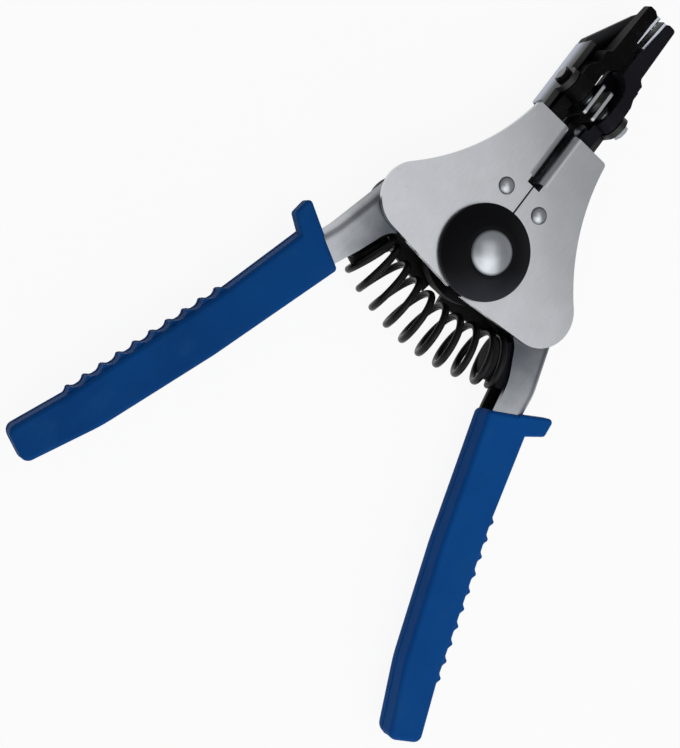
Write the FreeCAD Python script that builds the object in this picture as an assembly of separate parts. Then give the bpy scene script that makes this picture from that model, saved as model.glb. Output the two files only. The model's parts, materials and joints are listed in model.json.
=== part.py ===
"""Automatic wire stripper: two split frame halves, two levers and a pair of hinged jaws on one pivot.

Millimetres. The tool lies on its back: +Z is its front, +Y points at the jaws, +X is its right side.
The origin is the pivot axis on the rear face of the pivot washer, where the pin ends flush.
Left pieces mirror right ones, apart from the levels of the eyes on the pivot, the bend of the lever,
the seat of the grip on it, the longer side of the spring seat, and the cheek of the head bracket, which
is wider and taller on the left.
"""
import FreeCAD, Part
import math
import os

# Layers from the rear face to the front
WASHER_T = 1.1
PLATE_T = 1.5
FRAME_GAP = 9.4
LEVER_T = 1.3
LEVER_SIDE_CLEAR = 0.25
LAP_CLEAR = 0.1

# How far a hole is cut past the piece
CUT_OVER = 1.0

# Ranges of motion in degrees
SQUEEZE_DEG = 8.0
SPREAD_DEG = 16.0
JAW_OPEN_DEG = 12.0

# Frame half outline
PLATE_TOP_Y = 37.0
PLATE_TOP_HALF = 11.6
PLATE_TOP_R = 1.0
FLANK_X = 14.66
FLANK_Y = 18.4
FLANK_R = 58.0
LOBE_X = 39.9
LOBE_Y = -8.2
LOBE_R = 8.7
PLATE_BOTTOM_Y = -12.0
SLIT_HALF = 0.2
RELIEF_Y = 21.2
RELIEF_SIZE = 2.0
FLANGE_HALF_GAP = 0.9
FLANGE_DEPTH = 4.2
FLANGE_BEND_R = 2.0
SPREAD_SPARE_DEG = 0.8

# Rear half outline, smaller than the front one and drawn out to a tongue under the head
TONGUE_TOP_Y = 50.0
TONGUE_HALF = 8.2
REAR_WAIST = (7.8, 36.0)
REAR_FLANK_X = 9.8
REAR_LOBE_X = 36.2
REAR_LOBE_R = 8.0
REAR_BOTTOM_Y = -14.6

# Pivot
PIN_R = 4.0
PIN_FIT = 0.05
EYE_R = 9.0
EYE_CLEAR = 0.3
CAP_R = 11.7
CAP_RIM_H = 1.3
CAP_TOP_R = 6.3
CAP_H = 4.4
PIN_HEAD_R = 5.35
PIN_HEAD_H = 1.5
SPACER_R = 13.0
WASHER_R = 11.7
WASHER_EDGE = 0.5

# Frame rivets
RIVET_X = 5.6
RIVET_Y = 15.9
RIVET_R = 1.6
RIVET_HEAD_R = 2.15
RIVET_HEAD_H = 0.9
RIVET_SLOT_CLEAR = 0.3

# Lever outline, outer edge then inner edge, from the eye to the end of the tang
LEVER_OUT_EYE = (6.0, 8.0)
LEVER_SHOULDER = (26.2, 5.2)
LEVER_SHOULDER_R = 6.0
LEVER_OUT_KNEE = (34.2, -17.2)
LEFT_OUT_KNEE = (31.8, -17.4)
LEVER_KNEE_R = 15.0
LEVER_OUT_NECK = (35.5, -27.0)
TANG_OUT_END = (49.0, -74.0)
TANG_IN_END = (45.4, -75.6)
LEVER_IN_NECK = (27.6, -27.0)
LEVER_IN_KNEE = (25.9, -19.0)
LEFT_IN_KNEE = (24.2, -19.2)
LEVER_IN_SHOULDER = (20.7, -9.8)
LEVER_IN_EYE = (4.0, -8.0)
LEVER_BEND_R = 2.2
WEB_START_X = 14.0
JOGGLE_X = 12.5
JOGGLE_W = 2.0

# Lever nose and its cam
NOSE_IN_X = 0.3
NOSE_TIP_Y = 38.6
NOSE_TIP_OUT_X = 5.8
NOSE_WAIST = (6.2, 26.0)
NOSE_SHOULDER = (9.2, 19.0)
NOSE_ROOT = (8.6, 2.0)
NOSE_BEND_R = 4.0
CAM_IN_X = 0.4
CAM_OUT_X = 5.6
CAM_Y0 = 34.0
CAM_CLEAR = 0.3

# Head bracket
BRACKET_T = 1.5
EAR_T = 0.8
EAR_IN_X = 1.0
EAR_Y0 = 42.0
EAR_Y1 = 51.0
EAR_RISE = 1.1
CHEEK_OUT_X = 9.0
LEFT_CHEEK_OUT_X = 9.9
CHEEK_Y0 = 37.6
CHEEK_Y1 = 58.0
CHEEK_DROP = 4.5
LEFT_CHEEK_DROP = 2.2
BASE_Y0 = 39.5
BRACKET_BEND_R = 1.3
LUG_R = 3.2
BASE_RIVET_X = 5.2
BASE_RIVET_Y = (42.2, 47.6)
BASE_RIVET_R = 1.4

# Jaw hinge
HINGE_Y = 46.0
HINGE_DROP = 1.2
JAW_PIN_R = 1.6
JAW_PIN_FIT = 0.05
BARREL_R = 3.0
NUT_R = 2.3
NUT_T = 1.3
PIN_END = 0.3
JAW_SIDE_CLEAR = 0.3
JAW_SPRING_WIRE = 0.7
JAW_SPRING_TURNS = 2

# Jaws, closed
MOUTH_RISE = 3.5
MOUTH_HALF_GAP = 0.2
JAW_TIP_Y = 73.3
JAW_TIP_IN_X = 2.6
JAW_TIP_OUT_X = 4.7
JAW_TIP_T = 2.9
JAW_TIP_R = 0.8
JAW_BEND_R = 1.2
JAW_EDGE_R = 0.4
JAW_WAIST = (5.1, 58.4)
SPUR = (6.4, 57.4)
JAW_NECK = (6.3, 54.0)
JAW_BROW_Y = 58.0
JAW_TOP_FALL = 0.3
JAW_THROAT_AHEAD = 2.16
JAW_THROAT_DROP = 2.4
ARCH_Y = 52.3
ARCH_R = 3.6
ARCH_LEDGE = 0.8
ARCH_LEDGE_R = 1.0
BLADE_IN_X = 0.6
BLADE_T = 0.85
BLADE_DEPTH = 3.6
BLADE_Y0 = 64.2
BLADE_END_DROP = 0.7
TAIL_IN_X = 3.2
TAIL_OUT_X = 7.1
TAIL_END_Y = 35.5
TAIL_TOP_GAP = 0.4
TAIL_DEPTH = 3.0
FIXED_JAW_Y0 = 51.5
FIXED_JAW_SHOULDER_X = 9.4
FIXED_JAW_SHOULDER_L = 2.2
FIXED_JAW_TIP_X = 2.7
FIXED_JAW_TIP_AHEAD = 0.7
FIXED_JAW_TIP_RISE = 1.0
NOTCH_RADII = (0.4, 0.55, 0.7, 0.9)
NOTCH_GAP = 0.6
NOTCH_START = 0.8
TOOTH_PITCH = 1.2
TOOTH_H = 0.45

# Return spring
SPRING_R = 6.25
SPRING_WIRE_R = 0.9
SPRING_HALF_TURNS = 19
SPRING_END_X = 21.3
SPRING_END_Y = -16.5
SPRING_MID_Y = -20.6
SEAT_T = 4.0
SEAT_LONG = 6.25
SEAT_SHORT = 5.2
SEAT_GAP = 0.02
SEAT_BOSS_H = 2.6
SEAT_BOSS_CLEAR = 0.1

# Grip outline: inner edge, end, outer edge and finger guard
GRIP_TOP_IN = (26.0, -27.6)
GRIP_MID_IN = (37.1, -60.6)
GRIP_REACH = 104.7
GRIP_HEEL_IN_X = 47.7
GRIP_HEEL_IN_L = 16.6
GRIP_HEEL_OUT_X = 57.75
GRIP_HEEL_OUT_L = 18.2
GRIP_SPREAD = 63.9
GRIP_END_W = 7.7
GRIP_END_SLOPE = 3.8
GRIP_MID_OUT = (44.25, -48.3)
GRIP_TOP_OUT = (36.65, -21.85)
GUARD_TOP = (33.5, -23.4)
GUARD_TIP = (41.6, -18.7)
GUARD_LOW = (42.2, -23.7)
GUARD_ROOT = (37.4, -27.2)
GUARD_CORNER_R = 1.0
GUARD_T = 4.6
GUARD_EDGE_R = 0.8
GRIP_T = 10.9
GRIP_EDGE_R = 1.2
GRIP_REAR_R = 3.9
GRIP_TOP_R = 1.0
GRIP_CORNER_R = 2.0
GRIP_BEND_R = 40.0
LEFT_GRIP_LIFT = 1.6
LEFT_GRIP_TURN_DEG = 0.8
RIDGE_COUNT = 10
RIDGE_PITCH = 4.45
RIDGE_START = -0.1
RIDGE_PROUD = 0.9
RIDGE_ROOT = 0.8
HOLLOW_R = 2.56

# Levels and grip bends worked out from the sizes above
REAR_Z0 = WASHER_T
REAR_Z1 = REAR_Z0 + PLATE_T
FRONT_Z0 = REAR_Z1 + FRAME_GAP
FRONT_Z1 = FRONT_Z0 + PLATE_T
MID_Z = (REAR_Z0 + FRONT_Z1) / 2
GRIP_Z0 = MID_Z - GRIP_T / 2
GRIP_Z1 = MID_Z + GRIP_T / 2
GRIP_LOW_IN = (GRIP_HEEL_IN_X, GRIP_HEEL_IN_L - GRIP_REACH)
GRIP_LOW_OUT = (GRIP_HEEL_OUT_X, GRIP_HEEL_OUT_L - GRIP_REACH)
LEVER_Z0 = REAR_Z1 + LEVER_SIDE_CLEAR
LEVER_Z1 = FRONT_Z0 - LEVER_SIDE_CLEAR
INNER_EYE_STEP = LEVER_T + LAP_CLEAR
BASE_TOP_Z = REAR_Z1 + BRACKET_T
CHEEK_TOP_Z = FRONT_Z1 - CHEEK_DROP
LEFT_CHEEK_TOP_Z = FRONT_Z1 - LEFT_CHEEK_DROP
EAR_TOP_Z = FRONT_Z1 + EAR_RISE
HINGE_Z = FRONT_Z1 - HINGE_DROP
MOUTH_Z = REAR_Z1 + MOUTH_RISE
TAIL_LOW_Z = FRONT_Z0 - TAIL_DEPTH
JAW_IN_X = EAR_IN_X + EAR_T + JAW_SIDE_CLEAR
BARREL_IN_X = JAW_IN_X + (JAW_SPRING_TURNS + 0.5) * JAW_SPRING_WIRE
BLADE_OUT_X = BLADE_IN_X + BLADE_T
BLADE_Y1 = JAW_TIP_Y - BLADE_END_DROP
UPPER_Z = MOUTH_Z + MOUTH_HALF_GAP
LOWER_Z = MOUTH_Z - MOUTH_HALF_GAP


def vec(x, y, z=0.0):
    return FreeCAD.Vector(x, y, z)


def rounded_edges(corners, closed=True):
    """Edges through (x, y, radius) corners; a radius is limited by the straight lengths beside it."""
    points = [vec(x, y) for x, y, radius in corners]
    count = len(points)
    reach = []
    for i, (x, y, radius) in enumerate(corners):
        if radius == 0 or (not closed and i in (0, count - 1)):
            reach.append((0.0, 0.0))
            continue
        before = points[i - 1] - points[i]
        after = points[(i + 1) % count] - points[i]
        half = before.getAngle(after) / 2
        reach.append((radius / math.tan(half), half))
    share = [1.0] * count
    for i in range(count if closed else count - 1):
        j = (i + 1) % count
        wanted = reach[i][0] + reach[j][0]
        room = 0.98 * (points[j] - points[i]).Length
        if wanted > room:
            share[i] = min(share[i], room / wanted)
            share[j] = min(share[j], room / wanted)
    starts, ends, arcs = [], [], []
    for i in range(count):
        length = reach[i][0] * share[i]
        if length == 0:
            starts.append(points[i])
            ends.append(points[i])
            arcs.append(None)
            continue
        to_before = (points[i - 1] - points[i]).normalize()
        to_after = (points[(i + 1) % count] - points[i]).normalize()
        half = reach[i][1]
        middle = (to_before + to_after).normalize()
        radius = length * math.tan(half)
        depth = radius / math.sin(half) - radius
        starts.append(points[i] + to_before * length)
        ends.append(points[i] + to_after * length)
        arcs.append(points[i] + middle * depth)
    edges = []
    for i in range(count):
        if arcs[i] is not None:
            edges.append(Part.Arc(starts[i], arcs[i], ends[i]).toShape())
        if closed or i < count - 1:
            following = starts[(i + 1) % count]
            if (following - ends[i]).Length > 1e-6:
                edges.append(Part.makeLine(ends[i], following))
    return edges


def outline_face(corners):
    return Part.Face(Part.Wire(rounded_edges(corners)))


def prism(face, z0, z1):
    moved = face.copy()
    moved.translate(vec(0, 0, z0))
    return moved.extrude(vec(0, 0, z1 - z0))


def block(x0, x1, y0, y1, z0, z1):
    return Part.makeBox(x1 - x0, y1 - y0, z1 - z0, vec(x0, y0, z0))


def disc(radius, z0, z1, x=0.0, y=0.0):
    return Part.makeCylinder(radius, z1 - z0, vec(x, y, z0))


def rod_x(radius, x0, x1, y, z):
    return Part.makeCylinder(radius, x1 - x0, vec(x0, y, z), vec(1, 0, 0))


def side_prism(points, x0, x1):
    """Prism along X from (y, z) points."""
    corners = [vec(x0, y, z) for y, z in points]
    return Part.Face(Part.makePolygon(corners + corners[:1])).extrude(vec(x1 - x0, 0, 0))


def end_prism(points, y0, y1):
    """Prism along Y from (x, z) points."""
    corners = [vec(x, y0, z) for x, z in points]
    return Part.Face(Part.makePolygon(corners + corners[:1])).extrude(vec(0, y1 - y0, 0))


def mirrored(shape):
    return shape.mirror(vec(0, 0, 0), vec(1, 0, 0))


def one_solid(shape):
    """A clean single solid from the result of a union or a cut."""
    return shape.removeSplitter().Solids[0]


def opened(shape):
    """A jaw piece turned about the hinge from closed to its rest position."""
    turned = shape.copy()
    turned.rotate(vec(0, HINGE_Y, HINGE_Z), vec(1, 0, 0), JAW_OPEN_DEG)
    return turned


def fillet_where(shape, radius, wanted):
    """Round the edges whose middle point passes the test."""
    edges = [edge for edge in shape.Edges if wanted(edge.CenterOfMass, edge)]
    return shape.makeFillet(radius, edges)


def frame_half_face(top_y, bottom_y, side_corners):
    """Right half of a frame outline, with the gap below the pivot that the spread closes."""
    gap = math.tan(math.radians(SPREAD_DEG / 2 + SPREAD_SPARE_DEG))
    low_x = -bottom_y * gap
    lobe_x, lobe_y, lobe_r = side_corners[-1]
    slope = (lobe_y - bottom_y) / lobe_x
    slit = [(SLIT_HALF, 0, 0), (SLIT_HALF, top_y, 0)]
    low = [(low_x + SLIT_HALF, bottom_y + slope * low_x, 0)]
    return outline_face(slit + side_corners + low)


def lapped_eye(half, z0, upper):
    """Half-thickness eye on the pivot, with room for the other half's eye in the other layer."""
    middle = z0 + PLATE_T / 2
    own = (middle + LAP_CLEAR / 2, z0 + PLATE_T) if upper else (z0, middle - LAP_CLEAR / 2)
    other = (z0, middle + LAP_CLEAR / 2) if upper else (middle - LAP_CLEAR / 2, z0 + PLATE_T)
    shape = half.cut(disc(EYE_R + EYE_CLEAR, other[0], other[1]))
    shape = shape.fuse(disc(EYE_R, own[0], own[1]))
    return shape.cut(disc(PIN_R + PIN_FIT, z0, z0 + PLATE_T))


def bent_flange(y0, y1):
    """Inner edge of a front plate, bent down towards the rear round a sheet's own thickness."""
    wall_x = FLANGE_HALF_GAP
    flat_x = wall_x + FLANGE_BEND_R
    inner_r = max(FLANGE_BEND_R - PLATE_T, 0.1)
    bend_z = FRONT_Z1 - FLANGE_BEND_R
    low_z = FRONT_Z1 - FLANGE_DEPTH
    corner = math.sqrt(0.5)
    outer_mid = vec(flat_x - FLANGE_BEND_R * corner, y0, bend_z + FLANGE_BEND_R * corner)
    inner_mid = vec(flat_x - inner_r * corner, y0, bend_z + inner_r * corner)
    profile = Part.Wire([
        Part.Arc(vec(flat_x, y0, FRONT_Z1), outer_mid, vec(wall_x, y0, bend_z)).toShape(),
        Part.makeLine(vec(wall_x, y0, bend_z), vec(wall_x, y0, low_z)),
        Part.makeLine(vec(wall_x, y0, low_z), vec(flat_x - inner_r, y0, low_z)),
        Part.makeLine(vec(flat_x - inner_r, y0, low_z), vec(flat_x - inner_r, y0, bend_z)),
        Part.Arc(vec(flat_x - inner_r, y0, bend_z), inner_mid, vec(flat_x, y0, bend_z + inner_r)).toShape(),
        Part.makeLine(vec(flat_x, y0, bend_z + inner_r), vec(flat_x, y0, FRONT_Z1)),
    ])
    return Part.Face(profile).extrude(vec(0, y1 - y0, 0))


def front_plate(right):
    """Front half with its bent inner flange and the relief notch below it."""
    outline = frame_half_face(PLATE_TOP_Y, PLATE_BOTTOM_Y, [
        (PLATE_TOP_HALF, PLATE_TOP_Y, PLATE_TOP_R),
        (FLANK_X, FLANK_Y, FLANK_R),
        (LOBE_X, LOBE_Y, LOBE_R),
    ])
    half = prism(outline, FRONT_Z0, FRONT_Z1)
    relief_top = RELIEF_Y + RELIEF_SIZE / 2
    half = half.cut(block(0, RELIEF_SIZE, relief_top - RELIEF_SIZE, relief_top, FRONT_Z0, FRONT_Z1))
    half = half.cut(block(0, FLANGE_HALF_GAP + FLANGE_BEND_R, relief_top, PLATE_TOP_Y, FRONT_Z0, FRONT_Z1))
    half = half.fuse(bent_flange(relief_top, PLATE_TOP_Y))
    half = half.cut(disc(RIVET_R, FRONT_Z0, FRONT_Z1, RIVET_X, RIVET_Y))
    if right:
        return one_solid(lapped_eye(half, FRONT_Z0, True))
    return one_solid(lapped_eye(mirrored(half), FRONT_Z0, False))


def rear_plate(right):
    """Rear half, with the tongue that carries the head bracket."""
    outline = frame_half_face(TONGUE_TOP_Y, REAR_BOTTOM_Y, [
        (TONGUE_HALF, TONGUE_TOP_Y, PLATE_TOP_R),
        (TONGUE_HALF, BASE_Y0, PLATE_TOP_R),
        REAR_WAIST + (FLANK_R / 8,),
        (REAR_FLANK_X, FLANK_Y, FLANK_R),
        (REAR_LOBE_X, LOBE_Y, REAR_LOBE_R),
    ])
    half = prism(outline, REAR_Z0, REAR_Z1)
    half = half.cut(disc(RIVET_R, REAR_Z0, REAR_Z1, RIVET_X, RIVET_Y))
    for y in BASE_RIVET_Y:
        half = half.cut(disc(BASE_RIVET_R, REAR_Z0, REAR_Z1, BASE_RIVET_X, y))
    if right:
        return one_solid(lapped_eye(half, REAR_Z0, True))
    return one_solid(lapped_eye(mirrored(half), REAR_Z0, False))


def domed_head(radius, height, z):
    """Shallow spherical cap on the plane z."""
    ball_r = (radius ** 2 + height ** 2) / (2 * height)
    ball = Part.makeSphere(ball_r, vec(0, 0, z + height - ball_r))
    return ball.common(disc(radius, z, z + height))


def frame_rivet():
    """Rivet through both plates: domed at the front, flush at the rear."""
    shank = disc(RIVET_R, REAR_Z0, FRONT_Z1)
    rivet = one_solid(shank.fuse(domed_head(RIVET_HEAD_R, RIVET_HEAD_H, FRONT_Z1)))
    rivet.translate(vec(RIVET_X, RIVET_Y, 0))
    return rivet


def pivot_pin():
    shank = disc(PIN_R, 0, FRONT_Z1 + CAP_H)
    return one_solid(shank.fuse(domed_head(PIN_HEAD_R, PIN_HEAD_H, FRONT_Z1 + CAP_H)))


def pivot_cap():
    """Conical cap with a low rim and a hollowed flank."""
    rim_z = FRONT_Z1 + CAP_RIM_H
    top_z = FRONT_Z1 + CAP_H
    waist_r = (CAP_R + CAP_TOP_R) / 2
    waist_z = rim_z + (top_z - rim_z) * 0.62
    profile = Part.Wire([
        Part.makeLine(vec(PIN_R, 0, FRONT_Z1), vec(CAP_R, 0, FRONT_Z1)),
        Part.makeLine(vec(CAP_R, 0, FRONT_Z1), vec(CAP_R, 0, rim_z)),
        Part.Arc(vec(CAP_R, 0, rim_z), vec(waist_r, 0, waist_z), vec(CAP_TOP_R, 0, top_z)).toShape(),
        Part.makeLine(vec(CAP_TOP_R, 0, top_z), vec(PIN_R, 0, top_z)),
        Part.makeLine(vec(PIN_R, 0, top_z), vec(PIN_R, 0, FRONT_Z1)),
    ])
    return Part.Face(profile).revolve(vec(0, 0, 0), vec(0, 0, 1), 360)


def rear_washer():
    """Flat washer that the pin is riveted over, chamfered at the rear."""
    washer = disc(WASHER_R, 0, WASHER_T).cut(disc(PIN_R, 0, WASHER_T))
    rim = [edge for edge in washer.Edges if edge.Length > 2 * math.pi * (PIN_R + WASHER_R) / 2]
    rear_rim = [edge for edge in rim if abs(edge.CenterOfMass.z) < 1e-4 and len(edge.Vertexes) == 1]
    return washer.makeChamfer(WASHER_EDGE, rear_rim)


def pivot_spacer():
    """Sleeve on the pin that keeps the two inner lever eyes apart."""
    z0 = LEVER_Z0 + INNER_EYE_STEP + LEVER_T + LAP_CLEAR
    z1 = LEVER_Z1 - INNER_EYE_STEP - LEVER_T - LAP_CLEAR
    return disc(SPACER_R, z0, z1).cut(disc(PIN_R, z0, z1))


def lever_outer_corners(right):
    knee = LEVER_OUT_KNEE if right else LEFT_OUT_KNEE
    return [
        LEVER_OUT_EYE + (0,),
        LEVER_SHOULDER + (LEVER_SHOULDER_R,),
        knee + (LEVER_KNEE_R,),
        LEVER_OUT_NECK + (LEVER_KNEE_R,),
        TANG_OUT_END + (0,),
    ]


def lever_flange_face(right):
    """Side wall of a lever, drawn on the right, from the eye to the end of the tang inside the grip."""
    knee = LEVER_IN_KNEE if right else LEFT_IN_KNEE
    inner = [
        TANG_IN_END + (0,),
        LEVER_IN_NECK + (LEVER_KNEE_R,),
        knee + (LEVER_KNEE_R,),
        LEVER_IN_SHOULDER + (LEVER_SHOULDER_R,),
        LEVER_IN_EYE + (0,),
    ]
    return outline_face(lever_outer_corners(right) + inner)


def web_band(right):
    """Band along the outer edge, one sheet thick, that joins the two side walls."""
    corners = lever_outer_corners(right)
    (x0, y0, r0), (x1, y1, r1) = corners[:2]
    start_y = y0 + (y1 - y0) * (WEB_START_X - x0) / (x1 - x0)
    corners[0] = (WEB_START_X, start_y, 0)
    spine = Part.Wire(rounded_edges(corners, closed=False))
    return spine.makeOffset2D(LEVER_T, 0, True, True, False)


def lever_channel(right):
    """Channel with rounded bends: the side walls and the web, open towards the other lever."""
    flange = lever_flange_face(right)
    outer = Part.Wire(rounded_edges(lever_outer_corners(right), closed=False))

    def on_bend(middle, edge):
        flat = Part.Vertex(edge.valueAt((edge.FirstParameter + edge.LastParameter) / 2))
        flat.translate(vec(0, 0, -middle.z))
        level = abs(middle.z - MID_Z) > (LEVER_Z1 - LEVER_Z0) / 2 - 1e-4
        return level and flat.distToShape(outer)[0] < 1e-4

    block_out = fillet_where(prism(flange, LEVER_Z0, LEVER_Z1), LEVER_BEND_R, on_bend)
    inside = flange.cut(web_band(right))
    return block_out.cut(prism(inside, LEVER_Z0 + LEVER_T, LEVER_Z1 - LEVER_T))


def nose_face():
    """Arm above the eye that carries the cam and the slot for the frame rivet."""
    corners = [
        (NOSE_IN_X, 0, 0),
        (NOSE_IN_X, NOSE_TIP_Y, 1.0),
        (NOSE_TIP_OUT_X, NOSE_TIP_Y, 1.0),
        NOSE_WAIST + (NOSE_BEND_R,),
        NOSE_SHOULDER + (NOSE_BEND_R,),
        NOSE_ROOT + (0,),
    ]
    return outline_face(corners)


def rivet_slot(z0, z1):
    """Arc slot that lets the lever turn by the squeeze before it pushes the frame rivet."""
    reach = math.hypot(RIVET_X, RIVET_Y)
    start = math.degrees(math.atan2(RIVET_Y, RIVET_X))
    half = RIVET_R + RIVET_SLOT_CLEAR
    ring = disc(reach + half, z0, z1).cut(disc(reach - half, z0, z1))
    wedge_r = 2 * reach
    first, last = math.radians(start), math.radians(start + SQUEEZE_DEG)
    wedge = Part.makePolygon([
        vec(0, 0),
        vec(wedge_r * math.cos(first), wedge_r * math.sin(first)),
        vec(wedge_r * math.cos(last), wedge_r * math.sin(last)),
        vec(0, 0),
    ])
    slot = ring.common(prism(Part.Face(wedge), z0, z1))
    for angle in (first, last):
        slot = slot.fuse(disc(half, z0, z1, reach * math.cos(angle), reach * math.sin(angle)))
    return slot


def lever_eye_plates(z_rear, z_front):
    """Rear eye with the nose and slot, front eye without."""
    nose = prism(nose_face(), z_rear, z_rear + LEVER_T).cut(rivet_slot(z_rear, z_rear + LEVER_T))
    rear = disc(EYE_R, z_rear, z_rear + LEVER_T).fuse(nose)
    front = disc(EYE_R, z_front - LEVER_T, z_front)
    return rear, front


def lever(right):
    """Stamped channel lever; the right one's eyes are stepped inwards to nest in the left one's."""
    flange = lever_flange_face(right)
    channel = lever_channel(right)
    depth = LEVER_Z1 - LEVER_Z0
    if right:
        inner_zone = block(-PLATE_TOP_HALF * 4, JOGGLE_X, -depth * 4, depth * 4, 0, FRONT_Z1)
        arms = flange.common(Part.Face(Part.makePolygon([
            vec(-EYE_R, -EYE_R * 2), vec(JOGGLE_X + JOGGLE_W, -EYE_R * 2),
            vec(JOGGLE_X + JOGGLE_W, EYE_R * 2), vec(-EYE_R, EYE_R * 2), vec(-EYE_R, -EYE_R * 2)])))
        step = flange.common(Part.Face(Part.makePolygon([
            vec(JOGGLE_X, -EYE_R * 2), vec(JOGGLE_X + JOGGLE_W, -EYE_R * 2),
            vec(JOGGLE_X + JOGGLE_W, EYE_R * 2), vec(JOGGLE_X, EYE_R * 2), vec(JOGGLE_X, -EYE_R * 2)])))
        z_rear = LEVER_Z0 + INNER_EYE_STEP
        z_front = LEVER_Z1 - INNER_EYE_STEP
        rear, front = lever_eye_plates(z_rear, z_front)
        shape = channel.cut(inner_zone)
        shape = shape.fuse([
            rear, front,
            prism(arms, z_rear, z_rear + LEVER_T),
            prism(arms, z_front - LEVER_T, z_front),
            prism(step, LEVER_Z0, z_rear + LEVER_T),
            prism(step, z_front - LEVER_T, LEVER_Z1),
        ])
    else:
        rear, front = lever_eye_plates(LEVER_Z0, LEVER_Z1)
        shape = channel.fuse([rear, front])
    shape = one_solid(shape.cut(disc(PIN_R + PIN_FIT, 0, FRONT_Z1)))
    return shape if right else mirrored(shape)


def tail_slope():
    """Rise of the cam face per millimetre, from the lift of the jaw tail and the travel of the nose."""
    turn = math.radians(JAW_OPEN_DEG)
    tail_y = TAIL_END_Y - HINGE_Y
    tail_z = TAIL_LOW_Z - HINGE_Z
    open_z = tail_z * math.cos(turn) + tail_y * math.sin(turn)
    open_y = tail_y * math.cos(turn) - tail_z * math.sin(turn)
    lift = tail_z - open_z
    travel = (HINGE_Y + open_y) * math.sin(math.radians(SQUEEZE_DEG))
    return lift / travel, HINGE_Z + open_z


def cam_face_z(x):
    """Height of the cam's sloping face at rest, just under the open jaw's tail."""
    slope, open_z = tail_slope()
    return open_z - CAM_CLEAR - slope * (x - (TAIL_IN_X + TAIL_OUT_X) / 2)


def cam(right):
    """Wedge on the nose; its face slopes down outwards under the jaw's tail."""
    base = LEVER_Z0 + LEVER_T + (INNER_EYE_STEP if right else 0)
    points = [
        (CAM_IN_X, base), (CAM_OUT_X, base),
        (CAM_OUT_X, cam_face_z(CAM_OUT_X)), (CAM_IN_X, cam_face_z(CAM_IN_X)),
    ]
    wedge = end_prism(points, CAM_Y0, NOSE_TIP_Y)
    return wedge if right else mirrored(wedge)


def jaw_bracket(out_x, top_z):
    """U-shaped bracket: base on the rear plate, cheek outside, ear beside the slit."""
    base = block(EAR_IN_X, out_x, BASE_Y0, CHEEK_Y1, REAR_Z1, BASE_TOP_Z)
    cheek_x = out_x - BRACKET_T
    cheek = block(cheek_x, out_x, CHEEK_Y0, CHEEK_Y1, REAR_Z1, top_z)
    neck = block(cheek_x, out_x, HINGE_Y - LUG_R, HINGE_Y + LUG_R, REAR_Z1, HINGE_Z)
    lug = rod_x(LUG_R, cheek_x, out_x, HINGE_Y, HINGE_Z).fuse(neck)
    ear = block(EAR_IN_X, EAR_IN_X + EAR_T, EAR_Y0, EAR_Y1, REAR_Z1, EAR_TOP_Z)
    cam_room = block(cheek_x, out_x, CHEEK_Y0, BASE_Y0, REAR_Z1, cam_face_z(CAM_IN_X) + CAM_CLEAR)
    shape = one_solid(base.fuse([cheek.cut(cam_room), lug, ear]))
    shape = fillet_where(shape, BRACKET_BEND_R, lambda middle, edge: abs(middle.x - out_x) < 1e-4
                         and abs(middle.z - REAR_Z1) < 1e-4)
    shape = fillet_where(shape, EAR_T, lambda middle, edge: abs(middle.z - EAR_TOP_Z) < 1e-4
                         and (abs(middle.y - EAR_Y0) < 1e-4 or abs(middle.y - EAR_Y1) < 1e-4))
    shape = shape.cut(rod_x(JAW_PIN_R, 0, out_x + CUT_OVER, HINGE_Y, HINGE_Z))
    for y in BASE_RIVET_Y:
        shape = shape.cut(disc(BASE_RIVET_R, REAR_Z1, BASE_TOP_Z, BASE_RIVET_X, y))
    return shape.Solids[0]


def bracket_rivets():
    rivets = []
    for y in BASE_RIVET_Y:
        head_r = BASE_RIVET_R * 1.5
        head_h = RIVET_HEAD_H * 0.8
        shank = disc(BASE_RIVET_R, REAR_Z0, BASE_TOP_Z)
        rivet = one_solid(shank.fuse(domed_head(head_r, head_h, BASE_TOP_Z)))
        rivet.translate(vec(BASE_RIVET_X, y, 0))
        rivets.append(rivet)
    return Part.makeCompound(rivets)


def jaw_pin(out_x):
    return rod_x(JAW_PIN_R, EAR_IN_X, out_x + NUT_T + PIN_END, HINGE_Y, HINGE_Z)


def hex_nut(out_x):
    corners = []
    for i in range(7):
        angle = math.radians(60 * i)
        corners.append(vec(out_x, HINGE_Y + NUT_R * math.cos(angle), HINGE_Z + NUT_R * math.sin(angle)))
    nut = Part.Face(Part.makePolygon(corners)).extrude(vec(NUT_T, 0, 0))
    return nut.cut(rod_x(JAW_PIN_R, out_x, out_x + NUT_T, HINGE_Y, HINGE_Z))


def half_turn_coil(points, wire_r):
    """Coil through points taken low and high by turns; it rises at the rear and falls at the front."""
    turns = []
    for i in range(len(points) - 1):
        start, end = points[i], points[i + 1]
        section = Part.Face(Part.Wire(Part.makeCircle(wire_r, start, vec(0, 0, 1))))
        axis = vec(end.y - start.y, start.x - end.x, 0)
        if end.y < start.y:
            axis = axis * -1
        turns.append(section.revolve((start + end) / 2, axis, 180))
    return one_solid(turns[0].fuse(turns[1:]))


def jaw_spring():
    """Two close turns round the jaw pin between the ear and the barrel."""
    turn_r = JAW_PIN_R + JAW_SPRING_WIRE / 2
    rings = []
    for i in range(JAW_SPRING_TURNS):
        x = JAW_IN_X + JAW_SPRING_WIRE * (i + 0.5)
        rings.append(Part.makeTorus(turn_r, JAW_SPRING_WIRE * 0.49, vec(x, HINGE_Y, HINGE_Z), vec(1, 0, 0)))
    return Part.makeCompound(rings)


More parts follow.
